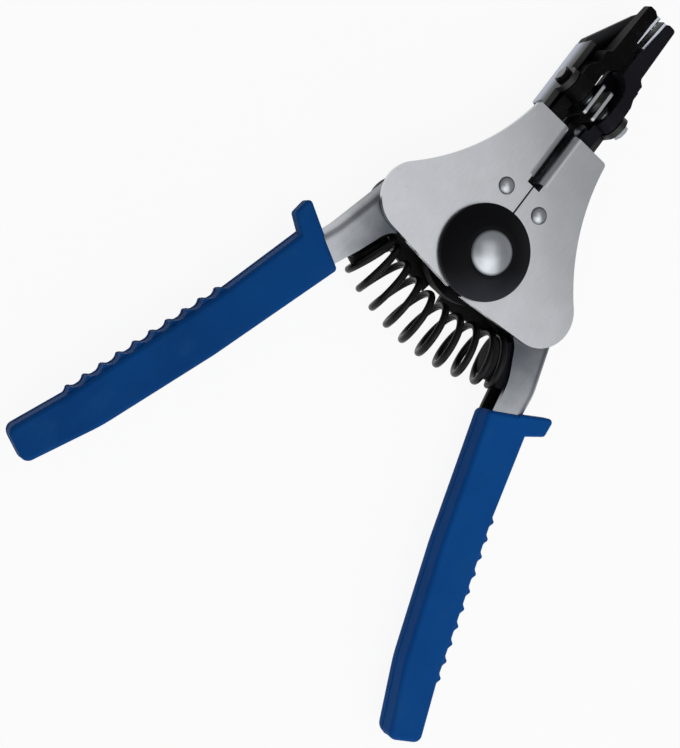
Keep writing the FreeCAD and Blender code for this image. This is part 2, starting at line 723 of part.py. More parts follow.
def moving_jaw(cheek_out_x):
    """Hinged jaw, modelled closed: barrel, curved arm with a blade seat, wedge tail."""
    out_x = cheek_out_x - BRACKET_T - JAW_SIDE_CLEAR
    top_z = HINGE_Z + BARREL_R
    side = side_prism([
        (HINGE_Y, top_z), (HINGE_Y + BARREL_R, top_z - JAW_TOP_FALL), (JAW_BROW_Y, HINGE_Z),
        (JAW_TIP_Y, UPPER_Z + JAW_TIP_T), (JAW_TIP_Y, UPPER_Z), (ARCH_Y + JAW_THROAT_AHEAD, UPPER_Z),
        (HINGE_Y + BARREL_R, HINGE_Z - JAW_THROAT_DROP), (HINGE_Y, HINGE_Z - BARREL_R),
    ], 0, cheek_out_x)
    plan = outline_face([
        (BARREL_IN_X, HINGE_Y, 0), (out_x, HINGE_Y, 0), (out_x, ARCH_Y - ARCH_LEDGE, ARCH_LEDGE_R),
        JAW_NECK + (JAW_BEND_R,), SPUR + (JAW_EDGE_R,), JAW_WAIST + (JAW_BEND_R,),
        (JAW_TIP_OUT_X, JAW_TIP_Y, JAW_TIP_R), (JAW_TIP_IN_X, JAW_TIP_Y, 0), (BLADE_OUT_X, BLADE_Y1, 0),
        (BLADE_OUT_X, BLADE_Y0, 0), (BLADE_IN_X, BLADE_Y0, 0), (BLADE_IN_X, HINGE_Y, 0),
    ])
    arm = side.common(prism(plan, 0, FRONT_Z1 * 2))
    arm = arm.cut(disc(ARCH_R, 0, FRONT_Z1 * 2, 0, ARCH_Y))
    arm = arm.cut(block(0, BARREL_IN_X, 0, ARCH_Y, 0, FRONT_Z1 * 2))
    barrel = rod_x(BARREL_R, BARREL_IN_X, out_x, HINGE_Y, HINGE_Z)
    slope, open_z = tail_slope()
    middle_x = (TAIL_IN_X + TAIL_OUT_X) / 2
    rise = slope * (TAIL_OUT_X - middle_x)
    tail_top = FRONT_Z0 - TAIL_TOP_GAP
    tail = end_prism([
        (TAIL_IN_X, TAIL_LOW_Z + rise), (TAIL_OUT_X, TAIL_LOW_Z - rise),
        (TAIL_OUT_X, tail_top), (TAIL_IN_X, tail_top),
    ], TAIL_END_Y, HINGE_Y)
    tail = tail.cut(block(0, BARREL_IN_X, EAR_Y0 - CUT_OVER, HINGE_Y + CUT_OVER, 0, FRONT_Z1 * 2))
    shape = one_solid(arm.fuse([barrel, tail]))
    shape = shape.cut(rod_x(JAW_PIN_R + JAW_PIN_FIT, 0, cheek_out_x, HINGE_Y, HINGE_Z))
    return opened(shape.Solids[0])


def fixed_jaw(cheek_out_x):
    """Lower jaw on the bracket base, tapering to the tip."""
    cheek_x = cheek_out_x - BRACKET_T
    tip_y = JAW_TIP_Y + FIXED_JAW_TIP_AHEAD
    shoulder_y = CHEEK_Y1 + FIXED_JAW_SHOULDER_L
    plan = outline_face([
        (BLADE_IN_X, FIXED_JAW_Y0, 0), (cheek_x, FIXED_JAW_Y0, 0), (cheek_x, CHEEK_Y1, 0),
        (FIXED_JAW_SHOULDER_X, CHEEK_Y1, JAW_EDGE_R), (FIXED_JAW_SHOULDER_X, shoulder_y, JAW_BEND_R),
        (FIXED_JAW_TIP_X, tip_y, JAW_TIP_R), (BLADE_OUT_X, tip_y, 0),
        (BLADE_OUT_X, BLADE_Y0, 0), (BLADE_IN_X, BLADE_Y0, 0),
    ])
    side = side_prism([
        (FIXED_JAW_Y0, BASE_TOP_Z), (CHEEK_Y1, BASE_TOP_Z), (CHEEK_Y1, REAR_Z1),
        (tip_y, REAR_Z1 + FIXED_JAW_TIP_RISE), (tip_y, LOWER_Z), (FIXED_JAW_Y0, LOWER_Z),
    ], 0, LEFT_CHEEK_OUT_X)
    return one_solid(prism(plan, 0, FRONT_Z1).common(side))


def notched_blade(z_edge, upward):
    """Blade with a row of wire notches along its cutting edge."""
    depth = -BLADE_DEPTH if upward else BLADE_DEPTH
    low, high = min(z_edge, z_edge + depth), max(z_edge, z_edge + depth)
    blade = block(BLADE_IN_X, BLADE_OUT_X, BLADE_Y0, BLADE_Y1, low, high)
    y = BLADE_Y1 - NOTCH_START
    for radius in NOTCH_RADII:
        y -= radius
        blade = blade.cut(rod_x(radius, 0, BLADE_OUT_X + CUT_OVER, y, z_edge))
        y -= radius + NOTCH_GAP
    return blade


def toothed_pad(z_edge, upward):
    """Gripping plate with fine teeth along its edge."""
    depth = -BLADE_DEPTH if upward else BLADE_DEPTH
    low, high = min(z_edge, z_edge + depth), max(z_edge, z_edge + depth)
    pad = block(BLADE_IN_X, BLADE_OUT_X, BLADE_Y0, BLADE_Y1, low, high)
    reach = TOOTH_H if upward else -TOOTH_H
    count = int((BLADE_Y1 - BLADE_Y0) / TOOTH_PITCH) - 1
    for i in range(count):
        y = BLADE_Y0 + (i + 1) * TOOTH_PITCH
        groove = side_prism([
            (y - TOOTH_PITCH / 2, z_edge), (y + TOOTH_PITCH / 2, z_edge), (y, z_edge - reach),
        ], 0, BLADE_OUT_X + CUT_OVER)
        pad = pad.cut(groove)
    return mirrored(pad)


def spring_axis(share):
    """Point and direction on the bent spring axis; share runs from 0 at the left to 1 at the right."""
    sag = SPRING_MID_Y - SPRING_END_Y
    t = 2 * share - 1
    point = vec(SPRING_END_X * t, SPRING_END_Y + sag * (1 - t * t), MID_Z)
    along = vec(SPRING_END_X, -2 * sag * t, 0).normalize()
    return point, along


def return_spring():
    """Coil bent between the levers, made of half turns; the left end is high, the right end low."""
    points = []
    for i in range(SPRING_HALF_TURNS + 1):
        point, along = spring_axis(i / SPRING_HALF_TURNS)
        across = vec(along.y, -along.x, 0)
        points.append(point + across * (SPRING_R if i % 2 else -SPRING_R))
    return half_turn_coil(points, SPRING_WIRE_R)


def spring_seat(right):
    """Plate between the lever's side walls with a boss inside the end turn; longer where the wire ends."""
    point, along = spring_axis(1.0)
    across = vec(along.y, -along.x, 0)
    foot = point + along * (SPRING_WIRE_R + SEAT_GAP)
    below = SEAT_LONG if right else SEAT_SHORT
    above = SEAT_SHORT if right else SEAT_LONG
    low_z = LEVER_Z0 + LEVER_T
    height = LEVER_Z1 - LEVER_T - low_z
    corners = [foot + across * below, foot - across * above]
    corners += [corners[1] + along * SEAT_T, corners[0] + along * SEAT_T]
    flat = [vec(corner.x, corner.y, low_z) for corner in corners]
    plate = Part.Face(Part.makePolygon(flat + flat[:1])).extrude(vec(0, 0, height))
    boss_r = SPRING_R - SPRING_WIRE_R - SEAT_BOSS_CLEAR
    boss = Part.makeCylinder(boss_r, SEAT_BOSS_H, foot, along * -1)
    seat = one_solid(plate.fuse(boss))
    return seat if right else mirrored(seat)


def finger_guard():
    """Tab at the top of the grip, level with its front."""
    inner_low = (GUARD_TOP[0], GUARD_ROOT[1])
    tab = prism(outline_face([
        GUARD_TOP + (0,), inner_low + (0,), GUARD_ROOT + (0,),
        GUARD_LOW + (GUARD_CORNER_R,), GUARD_TIP + (GUARD_CORNER_R,),
    ]), GRIP_Z1 - GUARD_T, GRIP_Z1)
    middle_z = GRIP_Z1 - GUARD_T / 2
    return fillet_where(tab, GUARD_EDGE_R, lambda middle, edge: edge.Length > GUARD_EDGE_R
                        and middle.x > GUARD_ROOT[0] and abs(middle.z - middle_z) > GUARD_T / 2 - 1e-4)


def ridge_comb():
    """Row of pointed ridges along the outer edge of the grip, with a round hollow beside each."""
    start = vec(*GRIP_MID_OUT)
    along = (vec(*GRIP_LOW_OUT) - start).normalize()
    outward = vec(-along.y, along.x, 0)
    low_z = GRIP_Z0 + GRIP_REAR_R
    high_z = GRIP_Z1 - GRIP_EDGE_R
    first = start + along * (RIDGE_START - RIDGE_PITCH / 2)
    corners = [first - outward * RIDGE_ROOT, first + outward * RIDGE_PROUD]
    corners += [corner + along * (RIDGE_COUNT * RIDGE_PITCH) for corner in reversed(corners)]
    comb = prism(Part.Face(Part.makePolygon(corners + corners[:1])), low_z, high_z)
    for i in range(RIDGE_COUNT + 1):
        centre = first + along * (i * RIDGE_PITCH) + outward * HOLLOW_R
        comb = comb.cut(disc(HOLLOW_R, low_z, high_z, centre.x, centre.y))
    return comb


def grip(right):
    """Moulded sleeve over the tang, rounder at the rear, with a finger guard and outer ridges."""
    body = prism(outline_face([
        GRIP_TOP_IN + (GRIP_TOP_R,), GRIP_MID_IN + (GRIP_BEND_R,), GRIP_LOW_IN + (GRIP_BEND_R,),
        (GRIP_SPREAD - GRIP_END_W, -GRIP_REACH, GRIP_CORNER_R),
        (GRIP_SPREAD, GRIP_END_SLOPE - GRIP_REACH, GRIP_CORNER_R),
        GRIP_LOW_OUT + (GRIP_BEND_R,), GRIP_MID_OUT + (GRIP_BEND_R,), GRIP_TOP_OUT + (GRIP_TOP_R,),
    ]), GRIP_Z0, GRIP_Z1)
    body = fillet_where(body, GRIP_EDGE_R, lambda middle, edge: middle.z > GRIP_Z1 - 1e-4)
    body = fillet_where(body, GRIP_REAR_R, lambda middle, edge: middle.z < GRIP_Z0 + 1e-4)
    body = body.fuse([finger_guard(), ridge_comb()])
    if not right:
        body.rotate(vec(*GRIP_TOP_IN), vec(0, 0, 1), -LEFT_GRIP_TURN_DEG)
        body.translate((vec(*GRIP_TOP_IN) - vec(*GRIP_MID_IN)).normalize() * LEFT_GRIP_LIFT)
    pocket = prism(lever_flange_face(right), LEVER_Z0, LEVER_Z1)
    sleeve = one_solid(body.cut(pocket))
    return sleeve if right else mirrored(sleeve)


def export(name, shape):
    shape.exportStep(os.path.join("parts", name + ".step"))


def main():
    os.makedirs("parts", exist_ok=True)
    pairs = {
        "frame_rivet": frame_rivet(),
        "bracket_rivets": bracket_rivets(),
        "jaw_spring": jaw_spring(),
    }
    for name, shape in pairs.items():
        export("right_" + name, shape)
        export("left_" + name, mirrored(shape))
    for side, right in (("right", True), ("left", False)):
        export(side + "_front_plate", front_plate(right))
        export(side + "_rear_plate", rear_plate(right))
        export(side + "_lever", lever(right))
        export(side + "_grip", grip(right))
        export(side + "_cam", cam(right))
        export(side + "_spring_seat", spring_seat(right))
    heads = (("right", CHEEK_OUT_X, CHEEK_TOP_Z), ("left", LEFT_CHEEK_OUT_X, LEFT_CHEEK_TOP_Z))
    for side, out_x, top_z in heads:
        head = {
            "jaw_bracket": jaw_bracket(out_x, top_z),
            "jaw_pin": jaw_pin(out_x),
            "jaw_pin_nut": hex_nut(out_x),
            "moving_jaw": moving_jaw(out_x),
            "fixed_jaw": fixed_jaw(out_x),
        }
        for name, shape in head.items():
            export(side + "_" + name, shape if side == "right" else mirrored(shape))
    export("right_front_blade", opened(notched_blade(UPPER_Z, False)))
    export("right_rear_blade", notched_blade(LOWER_Z, True))
    export("left_front_pad", opened(toothed_pad(UPPER_Z, False)))
    export("left_rear_pad", toothed_pad(LOWER_Z, True))
    export("pivot_pin", pivot_pin())
    export("pivot_cap", pivot_cap())
    export("pivot_spacer", pivot_spacer())
    export("rear_washer", rear_washer())
    export("return_spring", return_spring())


main()
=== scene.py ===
"""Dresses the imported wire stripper: finishes, coil springs, mould seams, screws, camera and soft light.

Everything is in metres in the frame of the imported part: +Y points at the jaws, +Z is the front of the tool.
"""

import json
import logging
import math
from dataclasses import dataclass, field
from enum import Enum
from typing import Any, Optional, Union

import bmesh
import bpy
from mathutils import Matrix, Vector

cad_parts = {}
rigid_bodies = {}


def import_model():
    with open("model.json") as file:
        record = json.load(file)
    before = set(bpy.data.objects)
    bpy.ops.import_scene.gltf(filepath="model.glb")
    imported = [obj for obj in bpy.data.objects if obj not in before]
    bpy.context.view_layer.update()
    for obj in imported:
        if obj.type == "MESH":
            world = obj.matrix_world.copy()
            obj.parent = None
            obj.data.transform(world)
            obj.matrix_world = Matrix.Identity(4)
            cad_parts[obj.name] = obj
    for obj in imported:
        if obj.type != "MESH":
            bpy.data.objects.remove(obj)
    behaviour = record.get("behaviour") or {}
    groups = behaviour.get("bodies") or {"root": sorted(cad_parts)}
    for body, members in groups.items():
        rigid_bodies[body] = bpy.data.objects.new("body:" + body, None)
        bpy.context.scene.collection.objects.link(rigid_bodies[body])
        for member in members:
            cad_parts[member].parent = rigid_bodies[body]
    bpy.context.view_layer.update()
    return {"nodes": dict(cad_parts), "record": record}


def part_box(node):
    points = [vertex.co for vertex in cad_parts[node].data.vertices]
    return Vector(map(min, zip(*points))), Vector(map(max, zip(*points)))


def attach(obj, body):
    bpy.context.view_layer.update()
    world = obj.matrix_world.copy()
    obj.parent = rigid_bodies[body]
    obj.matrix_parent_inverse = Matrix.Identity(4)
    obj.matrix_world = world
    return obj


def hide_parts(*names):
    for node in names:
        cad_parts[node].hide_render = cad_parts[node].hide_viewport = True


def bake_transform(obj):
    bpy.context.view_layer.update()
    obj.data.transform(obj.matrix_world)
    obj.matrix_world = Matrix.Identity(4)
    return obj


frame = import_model()

LOG = logging.getLogger("wire_stripper")
MM = 0.001
FULL_TURN = 2 * math.pi

Number = Union[int, float]
Pair = tuple[float, float]
Point = tuple[float, float, float]
Colour = tuple[float, float, float]

BLACK: Colour = (0.0, 0.0, 0.0)
WHITE: Colour = (1.0, 1.0, 1.0)


class Side(Enum):
    """The two mirrored halves of the tool."""

    LEFT = -1
    RIGHT = 1

    @property
    def word(self) -> str:
        """First word of the names of this side's nodes and bodies."""
        return self.name.lower()

    def body(self, kind: str) -> str:
        """Name of this side's body of one kind, such as frame or lever."""
        return f"{self.word}_{kind}"


class Wire:
    """A node's output socket that takes part in arithmetic; each operator adds one Math node."""

    def __init__(self, graph: "Graph", socket: Optional[bpy.types.NodeSocket]) -> None:
        """Keep the socket and the graph that it belongs to.

        Args:
            graph: the graph that new nodes go into.
            socket: the output socket that this wire stands for.
        """
        self.graph = graph
        self.socket = socket

    def out(self, name: Union[int, str]) -> "Wire":
        """Another output of the same node."""
        return Wire(self.graph, self.socket.node.outputs[name])

    def _math(self, operation: str, *values: Any) -> "Wire":
        """One Math node on the given values."""
        return self.graph.node("ShaderNodeMath", {"operation": operation}, dict(enumerate(values)))

    def __add__(self, other: Any) -> "Wire":
        """This plus other."""
        return self._math("ADD", self, other)

    def __radd__(self, other: Any) -> "Wire":
        """Other plus this."""
        return self._math("ADD", other, self)

    def __sub__(self, other: Any) -> "Wire":
        """This minus other."""
        return self._math("SUBTRACT", self, other)

    def __rsub__(self, other: Any) -> "Wire":
        """Other minus this."""
        return self._math("SUBTRACT", other, self)

    def __mul__(self, other: Any) -> "Wire":
        """This times other."""
        return self._math("MULTIPLY", self, other)

    def __rmul__(self, other: Any) -> "Wire":
        """Other times this."""
        return self._math("MULTIPLY", other, self)

    def __truediv__(self, other: Any) -> "Wire":
        """This divided by other."""
        return self._math("DIVIDE", self, other)

    def __rtruediv__(self, other: Any) -> "Wire":
        """Other divided by this."""
        return self._math("DIVIDE", other, self)

    def __abs__(self) -> "Wire":
        """This without its sign."""
        return self._math("ABSOLUTE", self)

    def sine(self) -> "Wire":
        """Sine of this angle in radians."""
        return self._math("SINE", self)

    def cosine(self) -> "Wire":
        """Cosine of this angle in radians."""
        return self._math("COSINE", self)

    def root(self) -> "Wire":
        """Square root."""
        return self._math("SQRT", self)

    def most(self, other: Any) -> "Wire":
        """The larger of the two."""
        return self._math("MAXIMUM", self, other)

    def step(self, low: Number, high: Number) -> "Wire":
        """Smooth rise from 0 at low to 1 at high; it falls where low is the larger."""
        return self.graph.node(
            "ShaderNodeMapRange", {"interpolation_type": "SMOOTHSTEP"},
            {"Value": self, "From Min": low, "From Max": high, "To Min": 0.0, "To Max": 1.0},
        )


class Graph:
    """A node tree with one method that makes its nodes."""

    def __init__(self, tree: bpy.types.NodeTree) -> None:
        """Wrap a node tree."""
        self.tree = tree

    @classmethod
    def on(cls, owner: Union[bpy.types.Material, bpy.types.World]) -> "Graph":
        """Give a material or a world an empty node tree.

        Args:
            owner: the material or world.

        Returns:
            The graph of its new tree.
        """
        owner.use_nodes = True
        owner.node_tree.nodes.clear()
        return cls(owner.node_tree)

    def node(
        self, kind: str, settings: Optional[dict[str, Any]] = None,
        inputs: Optional[dict[Union[int, str], Any]] = None, output: Union[int, str] = 0,
    ) -> Wire:
        """Make a node, set it up and link it.

        Args:
            kind: the node's type.
            settings: its properties, set first.
            inputs: values or wires for its sockets, by index or name.
            output: the output that the returned wire stands for.

        Returns:
            A wire on the chosen output, if the node has outputs.
        """
        made = self.tree.nodes.new(kind)
        for name, value in (settings or {}).items():
            setattr(made, name, value)
        for key, value in (inputs or {}).items():
            if isinstance(value, Wire):
                self.tree.links.new(value.socket, made.inputs[key])
            else:
                made.inputs[key].default_value = value
        socket = made.outputs[output] if len(made.outputs) else None
        return Wire(self, socket)

    def place(self) -> Wire:
        """Object coordinates, in metres in the part's frame."""
        return self.node("ShaderNodeTexCoord", output="Object")

    def axes(self, vector: Wire) -> tuple[Wire, Wire, Wire]:
        """The three components of a vector."""
        split = self.node("ShaderNodeSeparateXYZ", None, {0: vector})
        return split, split.out(1), split.out(2)

    def noise(self, vector: Wire, scale: Union[Number, Point], detail: Number = 3.0) -> Wire:
        """Noise from 0 to 1.

        Args:
            vector: coordinates in metres.
            scale: features per metre, one number or one for each axis.
            detail: octaves of finer noise.

        Returns:
            The noise value.
        """
        spread = scale if isinstance(scale, tuple) else (scale, scale, scale)
        mapped = self.node("ShaderNodeMapping", None, {"Vector": vector, "Scale": spread})
        return self.node("ShaderNodeTexNoise", None, {"Vector": mapped, "Scale": 1.0, "Detail": detail})

    def mix(self, factor: Wire, low: Any, high: Any) -> Wire:
        """Colour between low and high.

        Args:
            factor: 0 gives low and 1 gives high.
            low: a colour or a wire.
            high: a colour or a wire.

        Returns:
            The mixed colour.
        """
        ends = [value if isinstance(value, Wire) else (*value, 1.0) for value in (low, high)]
        return self.node(
            "ShaderNodeMix", {"data_type": "RGBA"}, {0: factor, 6: ends[0], 7: ends[1]}, output=2,
        )

    def bump(self, height: Wire, depth: Number, strength: Number) -> Wire:
        """Normal from a height.

        Args:
            height: 0 to 1.
            depth: metres from the lowest to the highest.
            strength: share of the bump that shows.

        Returns:
            The bent normal.
        """
        return self.node(
            "ShaderNodeBump", None, {"Height": height, "Distance": depth, "Strength": strength},
        )


def put(name: str, data: bpy.types.ID) -> bpy.types.Object:
    """Add an object to the scene.

    Args:
        name: the object's name.
        data: its mesh, camera or light.

    Returns:
        The new object, at the origin.
    """
    made = bpy.data.objects.new(name, data)
    bpy.context.scene.collection.objects.link(made)
    return made


def elements(shape: bmesh.types.BMesh) -> list:
    """All the vertices, edges and faces of a mesh in the making."""
    return shape.verts[:] + shape.edges[:] + shape.faces[:]


def shade(colour: Colour, share: float) -> Colour:
    """A colour made darker or lighter by a share."""
    return tuple(min(1.0, part * share) for part in colour)


@dataclass(frozen=True)
class Finish:
    """A surface finish; the classes below say how it varies."""

    name: str
    base: Colour
    roughness: float = 0.4
    metallic: float = 0.0
    specular: float = 0.5
    coat_roughness: float = 0.2
    tones: Pair = (1.0, 1.0)
    rough_span: Pair = (0.0, 0.0)
    bump_show: float = 0.35

    def tinted(self, graph: Graph, pattern: Wire) -> Wire:
        """The base colour, in its first tone where a pattern is 0 and its second where it is 1."""
        return graph.mix(pattern, *(shade(self.base, share) for share in self.tones))

    def rough(self, pattern: Wire) -> Wire:
        """The roughness, shifted by the first of its span and raised by the second with a pattern."""
        return self.roughness + self.rough_span[0] + pattern * self.rough_span[1]

    def dress(self, graph: Graph) -> dict[str, Wire]:
        """Sockets of the shader that vary over the surface.

        Args:
            graph: the material's node graph.

        Returns:
            A wire for each varying socket, the colour and the roughness among them.
        """
        raise NotImplementedError

    def material(self) -> bpy.types.Material:
        """Make the material.

        Returns:
            A new material with this finish.
        """
        made = bpy.data.materials.new(self.name)
        made.diffuse_color = (*self.base, 1.0)
        graph = Graph.on(made)
        sockets: dict[str, Any] = {
            "Metallic": self.metallic, "Specular IOR Level": self.specular,
            "Coat Roughness": self.coat_roughness,
        }
        sockets.update(self.dress(graph))
        shader = graph.node("ShaderNodeBsdfPrincipled", None, sockets)
        graph.node("ShaderNodeOutputMaterial", None, {"Surface": shader})
        return made


@dataclass(frozen=True)
class SatinSheet(Finish):
    """Plated sheet steel: fine drawn grain, faint cloudy patches and small handling marks."""

    tones: Pair = (0.95, 1.05)
    rough_span: Pair = (-0.05, 0.1)
    bump_show: float = 0.5
    grain_scale: Point = (2600.0, 320.0, 2600.0)
    grain_depth: float = 0.02 * MM
    grain_share: float = 0.4
    cloud_scale: float = 130.0
    cloud_edge: Pair = (0.3, 0.7)
    mark_scale: float = 620.0
    mark_edge: Pair = (0.64, 0.72)
    mark_tone: float = 0.8
    mark_show: float = 0.25
    mark_rough: float = 0.06

    def plated(self, graph: Graph) -> tuple[Wire, Wire, Wire]:
        """Colour, roughness and normal of the bare sheet.

        Args:
            graph: the material's node graph.

        Returns:
            Wires for the colour, the roughness and the normal.
        """
        place = graph.place()
        grain = graph.noise(place, self.grain_scale, 2.0)
        cloud = graph.noise(place, self.cloud_scale, 4.0)
        marks = graph.noise(place, self.mark_scale, 6.0).step(*self.mark_edge)
        level = grain * self.grain_share + cloud * (1.0 - self.grain_share)
        colour = self.tinted(graph, level.step(*self.cloud_edge))
        colour = graph.mix(marks * self.mark_show, colour, shade(self.base, self.mark_tone))
        rough = self.rough(cloud) + marks * self.mark_rough
        return colour, rough, graph.bump(grain, self.grain_depth, self.bump_show)


@dataclass(frozen=True)
class FrameSheet(SatinSheet):
    """Plated frame plate with painted shade and some soiling along the split, and painted shade that makes it
    a little darker towards the jaws and to the right.
    """

    seam_half: float = 0.27 * MM
    seam_edge: float = 0.1 * MM
    grime: Colour = (0.008, 0.008, 0.009)
    grime_rough: float = 0.1
    dim_from: float = 8.0 * MM
    dim_to: float = 36.0 * MM
    dim_aside: float = 0.6
    dim_most: float = 0.22

    def dress(self, graph: Graph) -> dict[str, Wire]:
        """Sockets of the frame plate.

        Args:
            graph: the material's node graph.

        Returns:
            A wire for each varying socket.
        """
        colour, rough, normal = self.plated(graph)
        across, along, _ = graph.axes(graph.place())
        # painted shade: darker towards the jaws and to the right
        painted_shade = (along + across * self.dim_aside).step(self.dim_from, self.dim_to) * self.dim_most
        colour = graph.mix(painted_shade, colour, BLACK)
        # painted shade with some soiling: a near-black, non-metallic band on the edges along the split
        # between the halves
        seam = abs(across).step(self.seam_half, self.seam_half - self.seam_edge)
        return {
            "Base Color": graph.mix(seam, colour, self.grime),
            "Roughness": rough + seam * self.grime_rough,
            "Metallic": self.metallic * (1.0 - seam),
            "Normal": normal,
        }


@dataclass(frozen=True)
class ChannelSheet(SatinSheet):
    """Plated channel, with painted shade on the faces inside it and painted shade near the pivot, under the
    edge of the plates.
    """

    outward: int = 1
    inside_low: float = 2.95 * MM
    inside_high: float = 10.6 * MM
    inside_edge: float = 0.2 * MM
    inward: Pair = (0.3, 0.1)
    dirt: Colour = (0.006, 0.006, 0.007)
    dirt_rough: float = 0.25
    dirt_hides: float = 0.95
    dull: Colour = (0.10, 0.11, 0.125)
    dull_from: float = 24.0 * MM
    dull_to: float = 38.0 * MM
    ragged: float = 6.0 * MM
    ragged_scale: float = 180.0

    def dress(self, graph: Graph) -> dict[str, Wire]:
        """Sockets of the channel.

        Args:
            graph: the material's node graph.

        Returns:
            A wire for each varying socket.
        """
        colour, rough, normal = self.plated(graph)
        place = graph.place()
        x, y, level = graph.axes(place)
        facing, _, _ = graph.axes(graph.node("ShaderNodeTexCoord", output="Normal"))
        # painted shade: the faces inside the channel are made near-black and barely metallic
        inside = level.step(self.inside_low, self.inside_low + self.inside_edge)
        inside = inside * level.step(self.inside_high, self.inside_high - self.inside_edge)
        inside = inside * (facing * float(self.outward)).step(*self.inward)
        # painted shade near the pivot, under the edge of the plates, with a ragged edge
        cloud = graph.noise(place, self.ragged_scale) - 0.5
        reach = (x * x + y * y).root() + cloud * self.ragged
        colour = graph.mix(reach.step(self.dull_to, self.dull_from), colour, self.dull)
        return {
            "Base Color": graph.mix(inside, colour, self.dirt),
            "Roughness": rough + inside * self.dirt_rough,
            "Metallic": self.metallic * (1.0 - inside * self.dirt_hides),
            "Normal": normal,
        }


@dataclass(frozen=True)
class BracketSheet(SatinSheet):
    """Bracket of plated steel with painted shade: near-black all over but for the outside of the left cheek,
    which grows darker towards its top, and the ears, which keep a bare grey steel colour.
    """

    cheek_x: float = -9.2 * MM
    cheek_low: float = 5.0 * MM
    cheek_high: float = 11.4 * MM
    ear_x: float = 2.3 * MM
    ear_z: float = 14.2 * MM
    edge: float = 0.1 * MM
    ear_tone: Colour = (0.44, 0.45, 0.47)
    oxide: Colour = (0.006, 0.006, 0.007)
    oxide_rough: float = 0.1

    def dress(self, graph: Graph) -> dict[str, Wire]:
        """Sockets of the bracket.

        Args:
            graph: the material's node graph.

        Returns:
            A wire for each varying socket.
        """
        colour, rough, normal = self.plated(graph)
        across, _, level = graph.axes(graph.place())
        # painted shade: the bracket is near-black and not metallic except on the lower outside of the left
        # cheek and on the ears, and the cheek darkens towards its top
        cheek = across.step(self.cheek_x + self.edge, self.cheek_x - self.edge)
        cheek = cheek * level.step(self.cheek_high, self.cheek_low)
        ear = level.step(self.ear_z - self.edge, self.ear_z + self.edge)
        ear = ear * abs(across).step(self.ear_x + self.edge, self.ear_x - self.edge)
        unshaded = cheek.most(ear)
        bare = graph.mix(ear, colour, self.ear_tone)
        return {
            "Base Color": graph.mix(unshaded, self.oxide, bare),
            "Roughness": rough + (1.0 - unshaded) * self.oxide_rough,
            "Metallic": unshaded * self.metallic,
            "Normal": normal,
        }


@dataclass(frozen=True)
class BlackOxide(Finish):
    """Blackened steel: warm and cold patches, with a little bare metal where it is handled.

    Where it has a sheen share, painted sheen makes it lighter and bluer right of the middle and lighter on
    the flank of the left fixed jaw.
    """

    rough_span: Pair = (-0.08, 0.16)
    cloud_scale: float = 210.0
    speck_scale: float = 2400.0
    speck_depth: float = 0.03 * MM
    warmth: Colour = (1.35, 1.15, 1.0)
    bare: Colour = (0.04, 0.04, 0.043)
    wear: float = 0.25
    wear_edge: Pair = (0.54, 0.66)
    thin: Colour = (0.011, 0.011, 0.016)
    thin_share: float = 0.0
    thin_edge: Pair = (-0.4 * MM, 0.8 * MM)
    flank: Colour = (0.07, 0.07, 0.076)
    flank_at: Pair = (-9.4 * MM, 60.2 * MM)
    flank_way: Pair = (0.437, 0.9)
    flank_depth: Pair = (3.2 * MM, 0.4 * MM)
    flank_start: Pair = (54.0 * MM, 58.0 * MM)
    flank_top: Pair = (9.5 * MM, 8.5 * MM)

    def dress(self, graph: Graph) -> dict[str, Wire]:
        """Sockets of the blackened surface.

        Args:
            graph: the material's node graph.

        Returns:
            A wire for each varying socket.
        """
        place = graph.place()
        cloud = graph.noise(place, self.cloud_scale, 4.0)
        speck = graph.noise(place, self.speck_scale)
        warm = tuple(part * share for part, share in zip(self.base, self.warmth))
        colour = graph.mix(cloud, self.base, warm)
        across, along, level = graph.axes(place)
        # painted sheen: lighter and bluer right of the middle, and lighter on the flank of the left fixed jaw
        colour = graph.mix(across.step(*self.thin_edge) * self.thin_share, colour, self.thin)
        aside = (across - self.flank_at[0]) * self.flank_way[1]
        ahead = (along - self.flank_at[1]) * self.flank_way[0]
        flank = (aside - ahead).step(*self.flank_depth)
        flank = flank * along.step(*self.flank_start) * level.step(*self.flank_top)
        colour = graph.mix(flank * self.thin_share, colour, self.flank)
        worn = (cloud * 0.5 + speck * 0.5).step(*self.wear_edge) * self.wear
        return {
            "Base Color": graph.mix(worn, colour, self.bare),
            "Roughness": self.rough(speck),
            "Normal": graph.bump(speck, self.speck_depth, self.bump_show),
        }


@dataclass(frozen=True)
class TurnedBlack(Finish):
    """Black cap with the fine rings of its turning, and painted light that makes it paler on the side towards
    the right grip and the fill lamp.
    """

    tones: Pair = (0.75, 1.3)
    rough_span: Pair = (-0.05, 0.1)
    cloud_scale: float = 170.0
    pitch: float = 0.42 * MM
    ring_depth: float = 0.012 * MM
    rubbed: Colour = (0.026, 0.027, 0.036)
    rub_way: Pair = (0.61, -0.79)
    rub_from: float = 3.0 * MM
    rub_to: float = 12.5 * MM
    ragged: float = 4.0 * MM

    def dress(self, graph: Graph) -> dict[str, Wire]:
        """Sockets of the turned surface.

        Args:
            graph: the material's node graph.

        Returns:
            A wire for each varying socket.
        """
        place = graph.place()
        x, y, _ = graph.axes(place)
        radius = (x * x + y * y).root()
        ring = (radius * (FULL_TURN / self.pitch)).sine() * 0.5 + 0.5
        cloud = graph.noise(place, self.cloud_scale)
        colour = self.tinted(graph, cloud)
        # painted light: paler on the side towards the fill lamp and the right grip, with a ragged edge
        rub = x * self.rub_way[0] + y * self.rub_way[1] + (cloud - 0.5) * self.ragged
        return {
            "Base Color": graph.mix(rub.step(self.rub_from, self.rub_to), colour, self.rubbed),
            "Roughness": self.rough(cloud),
            "Normal": graph.bump(ring, self.ring_depth, self.bump_show),
        }


